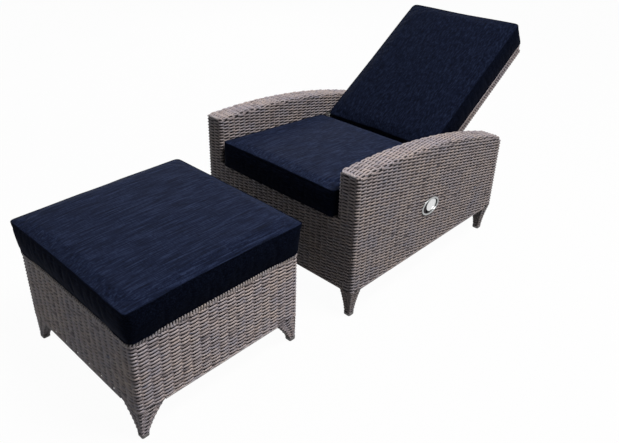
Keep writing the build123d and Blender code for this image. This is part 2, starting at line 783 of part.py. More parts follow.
with BuildPart() as back_cross_tubes:
    for up in (tube_low + tube / 2, (tube_low + tube_high) / 2, tube_high - tube / 2):
        start = on_back(-side_tube_inside, up, panel_middle)
        with BuildSketch(Plane(start, x_dir=back_plane.y_dir, z_dir=(1, 0, 0))) as ring:
            Rectangle(tube, tube)
            Rectangle(tube - 2 * tube_wall, tube - 2 * tube_wall, mode=Mode.SUBTRACT)
        extrude(ring.sketch, amount=2 * side_tube_inside)
back_cross_tubes.part.label = "back_cross_tubes"
export_step(back_cross_tubes.part, "parts/back_cross_tubes.step")

with BuildPart() as back_front_weave:
    back_plate(panel_width / 2, tube_low, panel_top, panel_front - weave, panel_front)
back_front_weave.part.label = "back_front_weave"
export_step(back_front_weave.part, "parts/back_front_weave.step")

panel_rear = panel_front - panel_thickness
with BuildPart() as back_rear_weave:
    back_plate(panel_width / 2, tube_low, panel_top, panel_rear, panel_rear + weave)
back_rear_weave.part.label = "back_rear_weave"
export_step(back_rear_weave.part, "parts/back_rear_weave.step")

boss_places = ((boss_high, panel_middle), (-boss_low, panel_middle))
with BuildPart() as back_edge_weave:
    for sign in side_of.values():
        low, high = sorted((sign * (panel_width / 2 - weave), sign * panel_width / 2))
        back_plate(high, tube_low, panel_top, panel_rear + weave, panel_front - weave, x_low=low)
    back_plate(
        panel_width / 2 - weave, tube_high, panel_top, panel_rear + weave, panel_front - weave
    )
    for up, out in boss_places:
        line = Plane(on_back(0, up, out), x_dir=back_plane.y_dir, z_dir=(1, 0, 0))
        for sign in side_of.values():
            low, high = sorted((sign * (panel_width / 2 - weave), sign * panel_width / 2))
            round_bar(line, boss_radius + free_play, low, high, mode=Mode.SUBTRACT)
back_edge_weave.part.label = "back_edge_weave"
export_step(back_edge_weave.part, "parts/back_edge_weave.step")

with BuildPart() as back_cushion:
    cushion(
        Plane(on_back(0, -back_below_pivot, panel_front + soft_gap), x_dir=(1, 0, 0), z_dir=back_plane.z_dir),
        back_width, back_length, back_thickness, back_crown,
    )
back_cushion.part.label = "back_cushion"
export_step(back_cushion.part, "parts/back_cushion.step")

# Hinge plates with their bosses and bushes
bush_radius = bolt_radius + running_play + bush_wall
with BuildPart() as hinge_plates:
    for sign in side_of.values():
        low, high = sorted((sign * plate_inside, sign * plate_outside))
        with BuildSketch(Plane(pivot, x_dir=back_plane.y_dir, z_dir=(1, 0, 0)).offset(low)) as plate:
            Circle(hinge_plate_round)
            with Locations(*boss_places):
                Circle(boss_plate_round)
            make_hull()
        extrude(plate.sketch, amount=high - low)
        low, high = sorted((sign * (panel_width / 2 - weave), sign * plate_inside))
        for up, out in boss_places:
            round_bar(Plane(on_back(0, up, out), x_dir=(0, 1, 0), z_dir=(1, 0, 0)), boss_radius, low, high)
    round_bar(across, bush_radius, -plate_outside, plate_outside, mode=Mode.SUBTRACT)
hinge_plates.part.label = "hinge_plates"
export_step(hinge_plates.part, "parts/hinge_plates.step")

with BuildPart() as hinge_bushes:
    for sign in side_of.values():
        bolt = across if sign > 0 else Plane(pivot, x_dir=(0, 1, 0), z_dir=(-1, 0, 0))
        round_bar(bolt, bush_radius, plate_inside, plate_outside)
        round_bar(bolt, bush_flange_radius, plate_outside, plate_outside + bush_flange)
        round_bar(
            bolt, bolt_radius + running_play, plate_inside, plate_outside + bush_flange, mode=Mode.SUBTRACT
        )
hinge_bushes.part.label = "hinge_bushes"
export_step(hinge_bushes.part, "parts/hinge_bushes.step")

# Lever plates that the gas spring pushes, slotted towards the pivot
hinge_side = Plane(pivot, x_dir=back_plane.y_dir, z_dir=(1, 0, 0))
tail_on_back = hinge_side.to_local_coords(gas_tail)
lever_sagitta = gas_lever_radius * (1 - cos(radians(back_travel) / 2))
slot_half = gas_pin_radius + gas_slot_share * lever_sagitta + gas_slot_play
slot_turn = degrees(atan2(tail_on_back.Y, tail_on_back.X))
with BuildPart() as gas_lever:
    for sign in side_of.values():
        low, high = sorted((sign * lever_plate_inside, sign * (lever_plate_inside + lever_plate)))
        with BuildSketch(hinge_side.offset(low)) as plate:
            with Locations((tail_on_back.X, tail_on_back.Y)):
                Circle(lever_eye_radius)
            with Locations((tube_low, panel_middle)):
                Rectangle(lever_plate, lever_neck, align=(Align.MAX, Align.CENTER))
            make_hull()
            with Locations(Location((tail_on_back.X, tail_on_back.Y, 0), (0, 0, slot_turn))):
                SlotOverall(2 * slot_half, 2 * (gas_pin_radius + gas_slot_play), mode=Mode.SUBTRACT)
        extrude(plate.sketch, amount=high - low)
gas_lever.part.label = "gas_lever"
export_step(gas_lever.part, "parts/gas_lever.step")

# Head of the gas spring with the lever that presses its valve
release_line = Plane(
    gas_line.from_local_coords(Vector(-release_pin_aside, 0, release_lever_at)),
    x_dir=(1, 0, 0), z_dir=gas_top.z_dir,
)
slot_half_height = release_lever_plate / 2 + free_play
with BuildPart() as gas_head:
    with BuildSketch(gas_side.offset(-head_width / 2)) as side_view:
        with Locations(((head_length - head_front) / 2, 0)):
            RectangleRounded(head_length + head_front, head_height, leg_round)
    extrude(side_view.sketch, amount=head_width)
    with BuildSketch(gas_side.offset(head_width / 2)) as ear:
        with Locations((head_length - ear_length / 2, 0)):
            Rectangle(ear_length, ear_height)
    extrude(ear.sketch, amount=release_arm + release_pin_aside - head_width / 2)
    round_bar(
        gas_side, head_pin_radius + running_play, -head_width / 2, head_width / 2, mode=Mode.SUBTRACT
    )
    with BuildSketch(gas_side.offset(-head_width / 2)) as slot:
        with Locations((release_lever_at + (release_slot_after - release_slot_before) / 2, 0)):
            Rectangle(release_slot_before + release_slot_after, 2 * slot_half_height)
    extrude(slot.sketch, amount=head_width, mode=Mode.SUBTRACT)
    round_bar(gas_line, rod_radius, rod_start, head_length, mode=Mode.SUBTRACT)
    round_bar(gas_line, valve_radius, valve_tip, rod_start, mode=Mode.SUBTRACT)
    round_bar(release_line, release_pin_radius, -head_height / 2, head_height / 2, mode=Mode.SUBTRACT)
    round_bar(cable_end_line, wire_hole_radius, ear_start, head_length, mode=Mode.SUBTRACT)
gas_head.part.label = "gas_head"
export_step(gas_head.part, "parts/gas_head.step")

with BuildPart() as gas_rod:
    round_bar(gas_line, rod_radius, rod_start, rod_end)
    round_bar(gas_line, valve_radius, valve_tip, rod_start)
gas_rod.part.label = "gas_rod"
export_step(gas_rod.part, "parts/gas_rod.step")

bore_radius = cylinder_radius - cylinder_wall
with BuildPart() as gas_piston:
    round_bar(gas_line, bore_radius - running_play, rod_end, rod_end + piston_length)
gas_piston.part.label = "gas_piston"
export_step(gas_piston.part, "parts/gas_piston.step")

with BuildPart() as lever_pin:
    round_bar(release_line, release_pin_radius, -head_height / 2, head_height / 2)
lever_pin.part.label = "lever_pin"
export_step(lever_pin.part, "parts/lever_pin.step")

with BuildPart() as head_ferrule:
    round_bar(cable_end_line, ferrule_radius, head_length, head_length + ferrule_length)
    round_bar(
        cable_end_line, wire_hole_radius, head_length, head_length + ferrule_length, mode=Mode.SUBTRACT
    )
head_ferrule.part.label = "head_ferrule"
export_step(head_ferrule.part, "parts/head_ferrule.step")

# Cylinder of the gas spring, with its guide, eye and tail pin
cylinder_end = cylinder_start + cylinder_length
with BuildPart() as gas_cylinder:
    round_bar(gas_line, cylinder_radius, cylinder_start, cylinder_end)
    round_bar(gas_line, bore_radius, cylinder_start, cylinder_end - cylinder_wall, mode=Mode.SUBTRACT)
gas_cylinder.part.label = "gas_cylinder"
export_step(gas_cylinder.part, "parts/gas_cylinder.step")

with BuildPart() as gas_guide:
    round_bar(gas_line, bore_radius, cylinder_start, cylinder_start + guide_length)
    round_bar(
        gas_line, rod_radius + running_play, cylinder_start, cylinder_start + guide_length,
        mode=Mode.SUBTRACT,
    )
gas_guide.part.label = "gas_guide"
export_step(gas_guide.part, "parts/gas_guide.step")

tail_line = Plane(gas_tail, x_dir=gas_along, z_dir=(1, 0, 0))
with BuildPart() as gas_eye:
    with BuildSketch(tail_line.offset(-eye_width / 2)) as eye:
        Circle(eye_radius)
    extrude(eye.sketch, amount=eye_width)
    round_bar(gas_line, eye_width / 2 - cylinder_wall, cylinder_end, gas_rest_length)
    round_bar(tail_line, gas_pin_radius, -eye_width / 2, eye_width / 2, mode=Mode.SUBTRACT)
gas_eye.part.label = "gas_eye"
export_step(gas_eye.part, "parts/gas_eye.step")

tail_pin_half = lever_plate_inside + lever_plate + pin_end
with BuildPart() as tail_pin:
    round_bar(tail_line, gas_pin_radius, -tail_pin_half, tail_pin_half)
tail_pin.part.label = "tail_pin"
export_step(tail_pin.part, "parts/tail_pin.step")

# Release lever in the head, and the nipple of the cable in its end
with BuildPart() as release_lever:
    with BuildSketch(release_line.offset(-release_lever_plate / 2)) as plate:
        with Locations(((release_arm + release_pin_aside) / 2, 0)):
            SlotCenterToCenter(release_arm + release_pin_aside, 2 * release_lever_round)
        Circle(release_pin_radius + running_play, mode=Mode.SUBTRACT)
        with Locations((release_arm + release_pin_aside, 0)):
            Circle(nipple_radius, mode=Mode.SUBTRACT)
    extrude(plate.sketch, amount=release_lever_plate)
    round_bar(
        cable_end_line, wire_radius + running_play, release_lever_at,
        release_lever_at + 2 * release_lever_round, mode=Mode.SUBTRACT,
    )
release_lever.part.label = "release_lever"
export_step(release_lever.part, "parts/release_lever.step")

with BuildPart() as lever_nipple:
    nipple_line = Plane(
        release_line.origin + release_line.x_dir * (release_arm + release_pin_aside),
        x_dir=(1, 0, 0), z_dir=release_line.z_dir,
    )
    round_bar(nipple_line, nipple_radius, -nipple_length / 2, nipple_length / 2)
    round_bar(cable_end_line, wire_radius, release_lever_at, release_lever_at + lever_wire)
lever_nipple.part.label = "lever_nipple"
export_step(lever_nipple.part, "parts/lever_nipple.step")

# Release paddle, hinged in the cup, with the nipple of the cable in its tail
paddle_face = half_width - paddle_recess
paddle_outline = kept_face(
    (oval(paddle_half_length, paddle_half_height, paddle_shift), Mode.ADD),
    (
        oval(cup_half_length - cup_wall - paddle_margin, cup_half_height - cup_wall - paddle_margin),
        Mode.INTERSECT,
    ),
)
paddle_nipple_axis = Plane((nipple_x, hinge_y, paddle_height), x_dir=(1, 0, 0), z_dir=(0, 0, 1))
tail_low = (hinge_x - paddle_tail / 2, hinge_y, paddle_height - paddle_tail_height / 2)
with BuildPart() as release_paddle:
    slab(paddle_outline, paddle_face - paddle_plate, paddle_face)
    round_bar(paddle_axis, paddle_knuckle_radius, -paddle_knuckle_length / 2, paddle_knuckle_length / 2)
    with BuildSketch(Plane(tail_low)) as tail:
        SlotCenterToCenter(paddle_tail, paddle_tail_width)
    extrude(tail.sketch, amount=paddle_tail_height)
    round_bar(
        paddle_axis, paddle_pin_radius + running_play, -paddle_knuckle_length, paddle_knuckle_length,
        mode=Mode.SUBTRACT,
    )
    round_bar(
        paddle_nipple_axis, nipple_radius, -paddle_tail_height / 2, paddle_tail_height / 2,
        mode=Mode.SUBTRACT,
    )
    round_bar(
        cable_line, wire_radius + running_play, hinge_y - ferrule_start,
        hinge_y + paddle_tail_width - ferrule_start, mode=Mode.SUBTRACT,
    )
release_paddle.part.label = "release_paddle"
export_step(release_paddle.part, "parts/release_paddle.step")

with BuildPart() as paddle_nipple:
    round_bar(paddle_nipple_axis, nipple_radius, -paddle_tail_height / 2, paddle_tail_height / 2)
    round_bar(cable_line, wire_radius, hinge_y - ferrule_start, hinge_y + paddle_wire - ferrule_start)
paddle_nipple.part.label = "paddle_nipple"
export_step(paddle_nipple.part, "parts/paddle_nipple.step")

# Footstool: frame with leg cores, slats, woven sides and legs, feet and cushion
stool_inset = weave + tube / 2
stool_post = stool_half - stool_inset
stool_frame_top = stool_top - slat_thickness
stool_frame_low = stool_skirt_height + weave
with BuildPart() as stool_frame:
    for corner, inward in stool_corners:
        x = corner[0] + inward[0] * stool_inset
        y = corner[1] + inward[1] * stool_inset
        tube_along(Vector(x, y, stool_frame_low), Vector(0, 0, 1), stool_frame_top - stool_frame_low)
        leg_core(corner, inward, stool_leg_tip_inset, stool_frame_low)
    rail_length = 2 * stool_post - tube
    for height in (stool_frame_low + tube / 2, stool_frame_top - tube / 2):
        for sign in side_of.values():
            along_x = Vector(-rail_length / 2, stool_middle + sign * stool_post, height)
            tube_along(along_x, Vector(1, 0, 0), rail_length)
            along_y = Vector(sign * stool_post, stool_middle - rail_length / 2, height)
            tube_along(along_y, Vector(0, 1, 0), rail_length)
stool_frame.part.label = "stool_frame"
export_step(stool_frame.part, "parts/stool_frame.step")

stool_inside = stool_half - weave
stool_slat_pitch = (2 * stool_inside - slat_width) / (stool_slat_count - 1)
with BuildPart() as stool_slats:
    with BuildSketch(Plane.XY.offset(stool_frame_top)):
        with Locations((0, stool_middle)):
            with GridLocations(0, stool_slat_pitch, 1, stool_slat_count):
                Rectangle(2 * stool_inside, slat_width)
    extrude(amount=slat_thickness)
stool_slats.part.label = "stool_slats"
export_step(stool_slats.part, "parts/stool_slats.step")

stool_plates = {
    "front": ((-stool_half, -stool_half), (stool_half, -stool_inside)),
    "rear": ((-stool_half, stool_inside), (stool_half, stool_half)),
    "left": ((stool_inside, -stool_inside), (stool_half, stool_inside)),
    "right": ((-stool_half, -stool_inside), (-stool_inside, stool_inside)),
}
for side, (low, high) in stool_plates.items():
    with BuildPart() as stool_weave:
        box_between(
            (low[0], stool_middle + low[1], stool_skirt_height), (high[0], stool_middle + high[1], stool_top)
        )
    stool_weave.part.label = f"stool_{side}_weave"
    export_step(stool_weave.part, f"parts/stool_{side}_weave.step")

with BuildPart() as stool_leg_wraps:
    for corner, inward in stool_corners:
        leg_wrap(corner, inward, stool_leg_top, stool_leg_tip, stool_leg_tip_inset, stool_skirt_height)
stool_leg_wraps.part.label = "stool_leg_wraps"
export_step(stool_leg_wraps.part, "parts/stool_leg_wraps.step")

with BuildPart() as stool_foot_caps:
    for corner, inward in stool_corners:
        foot_cap(corner, inward, stool_leg_tip, stool_leg_tip_inset)
stool_foot_caps.part.label = "stool_foot_caps"
export_step(stool_foot_caps.part, "parts/stool_foot_caps.step")

with BuildPart() as stool_cushion:
    stool_rest = (0, stool_middle - stool_cushion_width / 2, stool_top + soft_gap)
    cushion(
        Plane(stool_rest, x_dir=(1, 0, 0), z_dir=(0, 0, 1)), stool_cushion_width, stool_cushion_width,
        stool_cushion_thickness, stool_crown,
    )
stool_cushion.part.label = "stool_cushion"
export_step(stool_cushion.part, "parts/stool_cushion.step")
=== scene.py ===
import json
from math import cos, pi, radians, sin

import bpy
import numpy as np
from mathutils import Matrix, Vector
from mathutils.kdtree import KDTree


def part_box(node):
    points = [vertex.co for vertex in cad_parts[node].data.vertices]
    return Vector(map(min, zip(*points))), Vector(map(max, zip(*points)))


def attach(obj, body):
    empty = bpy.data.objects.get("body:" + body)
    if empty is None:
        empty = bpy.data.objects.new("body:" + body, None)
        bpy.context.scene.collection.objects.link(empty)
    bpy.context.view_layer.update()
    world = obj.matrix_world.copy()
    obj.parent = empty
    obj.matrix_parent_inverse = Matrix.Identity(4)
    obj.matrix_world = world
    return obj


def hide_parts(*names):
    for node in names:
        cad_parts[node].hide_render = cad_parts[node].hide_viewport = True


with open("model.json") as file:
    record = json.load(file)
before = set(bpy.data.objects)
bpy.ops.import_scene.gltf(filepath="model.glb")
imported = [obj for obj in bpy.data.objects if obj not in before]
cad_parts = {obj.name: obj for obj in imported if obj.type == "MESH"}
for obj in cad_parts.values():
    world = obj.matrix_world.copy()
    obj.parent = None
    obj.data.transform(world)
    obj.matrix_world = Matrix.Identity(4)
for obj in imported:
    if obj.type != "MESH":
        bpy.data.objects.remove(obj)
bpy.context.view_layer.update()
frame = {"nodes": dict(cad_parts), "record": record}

# Places read from the frame, in metres
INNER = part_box("left_arm_inner_weave")
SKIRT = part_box("front_skirt_weave")
REAR_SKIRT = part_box("rear_skirt_weave")
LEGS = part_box("leg_wraps")
STOOL = (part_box("stool_front_weave")[0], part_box("stool_rear_weave")[1])
STOOL_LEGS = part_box("stool_leg_wraps")
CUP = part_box("release_cup")
PIVOT = np.array(next(
    joint["pos_m"] for joint in frame["record"]["behaviour"]["joints"] if joint["name"] == "back_recline"
))

HALF = LEGS[1][0]
FRONT = LEGS[0][1]
REAR = LEGS[1][1]
INSIDE = INNER[0][0]
BOTTOM = LEGS[1][2]
FOOT = LEGS[0][2]
SEAT_TOP = SKIRT[1][2]
REAR_TOP = REAR_SKIRT[1][2]
CUP_MIDDLE = ((CUP[0][1] + CUP[1][1]) / 2, (CUP[0][2] + CUP[1][2]) / 2)
CUP_HALF = ((CUP[1][1] - CUP[0][1]) / 2, (CUP[1][2] - CUP[0][2]) / 2)

# Least length that counts
TINY = 1e-9

# Arms: an arc from the front height to the rear height, its two ends rounded
ARM_FRONT_HEIGHT = 0.554
ARM_REAR_HEIGHT = 0.421
ARM_RISE = 0.041
ARM_CORNER = 0.034
ARM_CORNER_DEPTH = 0.85
ARM_NOSE = 0.009
ARM_EDGE = 0.012

# Cuts and overlaps of the arms' weave
ARM_OVERLAP = 0.002
INNER_TOUCH = 0.0005
SAMPLE_SPARE = 0.009
CUP_DEPTH = 0.010
DECK_CLEARANCE = 0.001
SLEEVE_HOLE = 0.0105

# Weave: rows of strands over upright stakes
ROW = 0.00595
STEPS = 6
LEAST_RUN = 3
STAKE = 0.0270
STAKE_WIDTH = 0.0155
STAKE_SINK = 0.0022
STAKE_ARCH = 0.0004
STOOL_STAKE = 0.035
STOOL_STAKE_WIDTH = 0.0200
LINER_SINK = 0.0080
LINER_STEP = 0.012
WAVE = 0.0031
WAVE_POWER = 0.6
SINK = 0.0034
STRAND = 0.0048
STRAND_SPREAD = 0.0019
STRAND_BULGE = 0.0021
WOBBLE = 0.00025
CORNER = 0.014
STOOL_CORNER = 0.016

# Legs: rings of strands that narrow from a flared top towards the foot
LEG_TOP = 0.060
LEG_TIP = 0.027
STOOL_LEG_TOP = 0.096
STOOL_LEG_TIP = 0.026
STOOL_TIP_INSET = 0.016
LEG_FLARE_SHARE = 0.48
LEG_CORNER = 0.22
LEG_WAVES = 0.28
LEG_PITCHES = 2
LEG_STAKE_SHARE = 0.05
LEG_LEVELS = 8
LEG_LEVEL_SPARE_SHARE = 0.4
LEG_LINER_POINTS = 25
LEG_LINER_SINK = 0.0058

# Ropes over the ends of the arms and along the lower edges, with some points to each pitch
ARM_ROPE = {"radius": 0.0052, "pitch": 0.0090, "groove": 0.36, "points": 7}
HEM_ROPE = {"radius": 0.0034, "pitch": 0.0064, "groove": 0.26, "points": 6}
ARM_ROPE_INSET = 0.0040
HEM_ROPE_INSET = 0.00204
HEM_OVERLAP = 0.006
ROPE_POWER = 0.7

chance = np.random.default_rng(7)


def circle_through(points):
    """Centre and radius of the circle through three points of the side view."""
    points = np.array(points)
    y, z, rest = np.linalg.solve(np.column_stack([2 * points, np.ones(3)]), (points ** 2).sum(1))
    return y, z, (rest + y * y + z * z) ** 0.5


ARC_Y, ARC_Z, ARC_RADIUS = circle_through([
    (FRONT, ARM_FRONT_HEIGHT),
    ((FRONT + REAR) / 2, (ARM_FRONT_HEIGHT + ARM_REAR_HEIGHT) / 2 + ARM_RISE),
    (REAR, ARM_REAR_HEIGHT),
])


def round_drop(over, radius):
    """Fall of a rounded end at a place the given length past where its arc starts."""
    over = np.clip(over, 0, radius)
    return radius - np.sqrt(np.maximum(radius ** 2 - over ** 2, 0))


def arm_top(y):
    """Height of the arm's upper edge at a place along the chair, both of its ends rounded."""
    y = np.asarray(y, float)
    height = ARC_Z + np.sqrt(np.maximum(ARC_RADIUS ** 2 - (y - ARC_Y) ** 2, 0))
    height = height - round_drop(y - (REAR - ARM_CORNER), ARM_CORNER) * ARM_CORNER_DEPTH
    return height - round_drop(FRONT + ARM_NOSE - y, ARM_NOSE)


def deck_height(y):
    """Height of the deck under the seat cushion, which falls towards the back."""
    low, high = INNER[0][2], SEAT_TOP
    return high + (low - high) * (np.asarray(y, float) - FRONT) / (REAR - FRONT)


def box_corners(low, high):
    """Corners of a rectangle, counted from the one at its high x and low y."""
    return [(high[0], low[1]), (high[0], high[1]), (low[0], high[1]), (low[0], low[1])]


# Outlines that the rows follow, seen from above
class Outline:
    """Closed or open line of straight runs with rounded corners, read by its length."""

    def __init__(self, corners, radius, closed=True):
        corners = [np.array(c, float) for c in corners]
        count = len(corners)
        self.parts = []
        self.bends = []
        self.length = 0.0
        self.closed = closed
        starts = []
        for i, corner in enumerate(corners):
            if not closed and i in (0, count - 1):
                starts.append((corner, corner, None))
                continue
            before = corners[i - 1] - corner
            after = corners[(i + 1) % count] - corner
            before *= radius / np.linalg.norm(before)
            after *= radius / np.linalg.norm(after)
            starts.append((corner + before, corner + after, corner + before + after))
        for i in range(count if closed else count - 1):
            if starts[i][2] is not None:
                self._arc(*starts[i], radius)
            self._line(starts[i][1], starts[(i + 1) % count][0])

    def _line(self, a, b):
        size = np.linalg.norm(b - a)
        self.parts.append((self.length, size, "line", a, (b - a) / size, None, None))
        self.length += size

    def _arc(self, a, b, centre, r):
        start = np.arctan2(*(a - centre)[::-1])
        turn = (np.arctan2(*(b - centre)[::-1]) - start + pi) % (2 * pi) - pi
        size = abs(turn) * r
        self.parts.append((self.length, size, "arc", centre, r, start, turn))
        self.bends.append(self.length + size / 2)
        self.length += size

    def at(self, s):
        """Places and outward directions at the given lengths along the outline."""
        s = np.asarray(s, float)
        place = np.zeros((len(s), 2))
        out = np.zeros((len(s), 2))
        for start, size, kind, *rest in self.parts:
            pick = (s >= start - TINY) & (s <= start + size + TINY)
            t = s[pick] - start
            if kind == "line":
                a, along = rest[0], rest[1]
                place[pick] = a + t[:, None] * along
                out[pick] = (along[1], -along[0])
            else:
                centre, r, first, turn = rest
                angle = first + turn * t / size
                ring = np.stack([np.cos(angle), np.sin(angle)], 1)
                place[pick] = centre + ring * r
                out[pick] = ring if turn > 0 else -ring
        return place, out


def new_object(name, data):
    """Object with the given data, in the scene."""
    thing = bpy.data.objects.new(name, data)
    bpy.context.scene.collection.objects.link(thing)
    return thing


def mesh_object(name, points, faces):
    """Object made of points and of faces that count them."""
    mesh = bpy.data.meshes.new(name)
    mesh.from_pydata(points, [], faces)
    return new_object(name, mesh)


class Mesh:
    """Gathers grids of quads, then makes one object of them."""

    def __init__(self):
        self.points = []
        self.faces = []
        self.count = 0

    def strip(self, grid, closed=False):
        """Adds a grid of points, rows by columns, as quads; closed joins its last row to its first."""
        rows, columns = grid.shape[:2]
        index = np.arange(rows * columns).reshape(rows, columns) + self.count
        first = index if not closed else np.vstack([index, index[:1]])
        quads = np.stack([first[:-1, :-1], first[1:, :-1], first[1:, 1:], first[:-1, 1:]], -1)
        self.points.append(grid.reshape(-1, 3))
        self.faces.append(quads.reshape(-1, 4))
        self.count += rows * columns

    def piece(self, name, material, body, *nodes, slot="wicker", smooth=True):
        """Makes the object, lets it ride on its body and stand for the CAD nodes."""
        faces = np.concatenate(self.faces)
        thing = mesh_object(name, np.concatenate(self.points).tolist(), faces.tolist())
        thing.data.polygons.foreach_set("use_smooth", np.full(len(faces), smooth))
        thing.data.update()
        thing.data.materials.append(material)
        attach(thing, body)
        if nodes:
            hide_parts(*nodes)


# Cross-section of a strand: place across it and height above its middle, as shares
SECTION = ((-0.5, -0.8), (-0.34, 0.48), (0.0, 1.0), (0.34, 0.48), (0.5, -0.8))


def strand(mesh, place, out, across, offset, width):
    """One strand along places, its wave in the outward direction, its width in the direction across."""
    rows = []
    for share, rise in SECTION:
        height = offset + rise * STRAND_BULGE
        rows.append(place + out * height[:, None] + across * (width * share)[:, None])
    mesh.strip(np.stack(rows, 1))


def runs_of(keep):
    """Start and end of each unbroken run of true values that is long enough."""
    edges = np.flatnonzero(np.diff(np.concatenate([[0], keep.astype(int), [0]])))
    return [(a, b) for a, b in zip(edges[::2], edges[1::2]) if b - a >= LEAST_RUN]


def spaced(pitches):
    """Samples of a row with the given number of stake pitches: their shares, and the stakes passed."""
    turns = np.arange(pitches * STEPS + 1) / STEPS
    return turns / pitches, turns


def stations(outline, counts, first=0):
    """Shares of an outline at a row's samples, and the stakes passed: every corner has one at its middle."""
    if outline.closed:
        ends = [*outline.bends, outline.bends[0] + outline.length]
    else:
        ends = [0, *outline.bends, outline.length]
    passed = first + np.concatenate([[0], np.cumsum(counts)])
    turns = np.arange(passed[0] * STEPS, passed[-1] * STEPS + (0 if outline.closed else 1)) / STEPS
    shares = np.interp(turns, passed, ends) / outline.length
    return shares % 1 if outline.closed else shares, turns


def woven(mesh, surface, rows, marks, turns, keep=None, closed=False, waves=1.0):
    """Plain weave: surface(shares, row) gives places, outward and across directions of a row.

    Marks are the shares along a row at its samples, and turns the stakes passed there.
    """
    for row in rows:
        place, out, across = surface(marks, row)
        swing = np.cos(pi * (turns + row))
        swing = waves * np.sign(swing) * np.abs(swing) ** WAVE_POWER
        coarse = chance.normal(size=len(marks) // STEPS + 2)
        drift = np.interp(np.arange(len(marks)) / STEPS, np.arange(len(coarse)), coarse)
        place = place + across * (WOBBLE * drift)[:, None]
        offset = WAVE * swing - SINK
        width = STRAND + STRAND_SPREAD * swing
        visible = np.ones(len(marks), bool) if keep is None else keep(*place.T)
        parts = (place, out, across, offset, width)
        if closed and visible.all():
            strand(mesh, *(np.concatenate([part, part[:1]]) for part in parts))
            continue
        if closed and visible[0]:
            shift = -int(np.flatnonzero(~visible)[0])
            parts = tuple(np.roll(part, shift, 0) for part in parts)
            visible = np.roll(visible, shift)
        for a, b in runs_of(visible):
            strand(mesh, *(part[a:b] for part in parts))


# Materials
def nodes_of(tree):
    """Functions that add a node with its values to a tree, and join nodes."""
    def node(kind, **values):
        made = tree.nodes.new(kind)
        for key, value in values.items():
            if key in made.inputs:
                made.inputs[key].default_value = value
            else:
                setattr(made, key, value)
        return made

    return node, tree.links.new


def new_material(name):
    """Material with one shader, and functions that add and join its nodes."""
    material = bpy.data.materials.new(name)
    material.use_nodes = True
    tree = material.node_tree
    return material, tree.nodes["Principled BSDF"], *nodes_of(tree)


def scaled_place(node, link, scale, lean=0.0):
    """Object coordinates turned back about X by a lean, then stretched by a scale on each axis."""
    scale = [1 / value for value in scale]
    mapping = node("ShaderNodeMapping", vector_type="TEXTURE", Rotation=(lean, 0, 0), Scale=scale)
    link(node("ShaderNodeTexCoord").outputs["Object"], mapping.inputs["Vector"])
    return mapping.outputs["Vector"]


def noise(node, link, place=None, **values):
    """Value of a noise at a place, or else at the object coordinates."""
    made = node("ShaderNodeTexNoise", **values)
    link(place or node("ShaderNodeTexCoord").outputs["Object"], made.inputs["Vector"])
    return made.outputs["Fac"]


def toned(node, link, value, stops):
    """Colour that a value picks from a ramp with the given places and colours."""
    made = node("ShaderNodeValToRGB")
    elements = made.color_ramp.elements
    elements[0].position, elements[0].color = stops[0][0], (*stops[0][1], 1)
    elements[1].position, elements[1].color = stops[-1][0], (*stops[-1][1], 1)
    for place, colour in stops[1:-1]:
        elements.new(place).color = (*colour, 1)
    link(value, made.inputs["Fac"])
    return made.outputs["Color"]


def relief(node, link, shader, height, strength, distance):
    """Joins a bump with the given height to the shader."""
    bump = node("ShaderNodeBump", Strength=strength, Distance=distance)
    link(height, bump.inputs["Height"])
    link(bump.outputs["Normal"], shader.inputs["Normal"])


def uneven_gloss(node, link, shader, source, low, high):
    """Lets the roughness of the shader run between two values."""
    rough = node("ShaderNodeMapRange")
    rough.inputs["To Min"].default_value = low
    rough.inputs["To Max"].default_value = high
    link(source, rough.inputs["Value"])
    link(rough.outputs["Result"], shader.inputs["Roughness"])


WICKER_TONES = (
    (0.26, (0.080, 0.070, 0.084)),
    (0.38, (0.220, 0.188, 0.192)),
    (0.46, (0.430, 0.366, 0.345)),
    (0.54, (0.235, 0.224, 0.256)),
    (0.63, (0.460, 0.394, 0.368)),
    (0.76, (0.125, 0.134, 0.190)),
)
EDGE_TONES = (
    (0.25, (0.180, 0.180, 0.215)),
    (0.45, (0.430, 0.385, 0.360)),
    (0.62, (0.340, 0.330, 0.355)),
    (0.78, (0.470, 0.412, 0.380)),
)
PATCH_TONES = ((0.36, (0.90, 0.91, 0.97)), (0.64, (1.06, 1.02, 0.98)))
CLOTH_TONES = (
    (0.35, (0.0012, 0.0026, 0.0080)),
    (0.50, (0.0052, 0.0090, 0.0265)),
    (0.66, (0.022, 0.033, 0.074)),
)
WICKER_GLOSS = (0.42, 0.62)
GLOSS_SPREAD = 0.06
LEAST_ROUGHNESS = 0.03
FINE_GRAIN = 0.0001


def dimmed(tones, level):
    """Places and colours of a ramp, each colour times a level."""
    return [(place, tuple(level * c for c in colour)) for place, colour in tones]


def wicker(name, scale, tones=WICKER_TONES, level=1.0):
    """Round plastic strand, mottled along its length in beige, taupe and blue-grey."""
    material, shader, node, link = new_material(name)
    along = noise(node, link, scaled_place(node, link, scale), Scale=1.0, Detail=2.0, Roughness=0.55)
    patch = noise(node, link, Scale=9.0, Detail=1.0)
    fine = noise(node, link, Scale=420.0, Detail=2.0)
    mixed = node("ShaderNodeMix", data_type="RGBA", blend_type="MULTIPLY", Factor=1.0)
    link(toned(node, link, along, tones), mixed.inputs["A"])
    # A level below 1 dims the whole strand colour, as painted shade
    link(toned(node, link, patch, dimmed(PATCH_TONES, level)), mixed.inputs["B"])
    link(mixed.outputs["Result"], shader.inputs["Base Color"])
    relief(node, link, shader, fine, strength=0.18, distance=0.0006)
    uneven_gloss(node, link, shader, fine, *WICKER_GLOSS)
    shader.inputs["Specular IOR Level"].default_value = 0.45
    return material


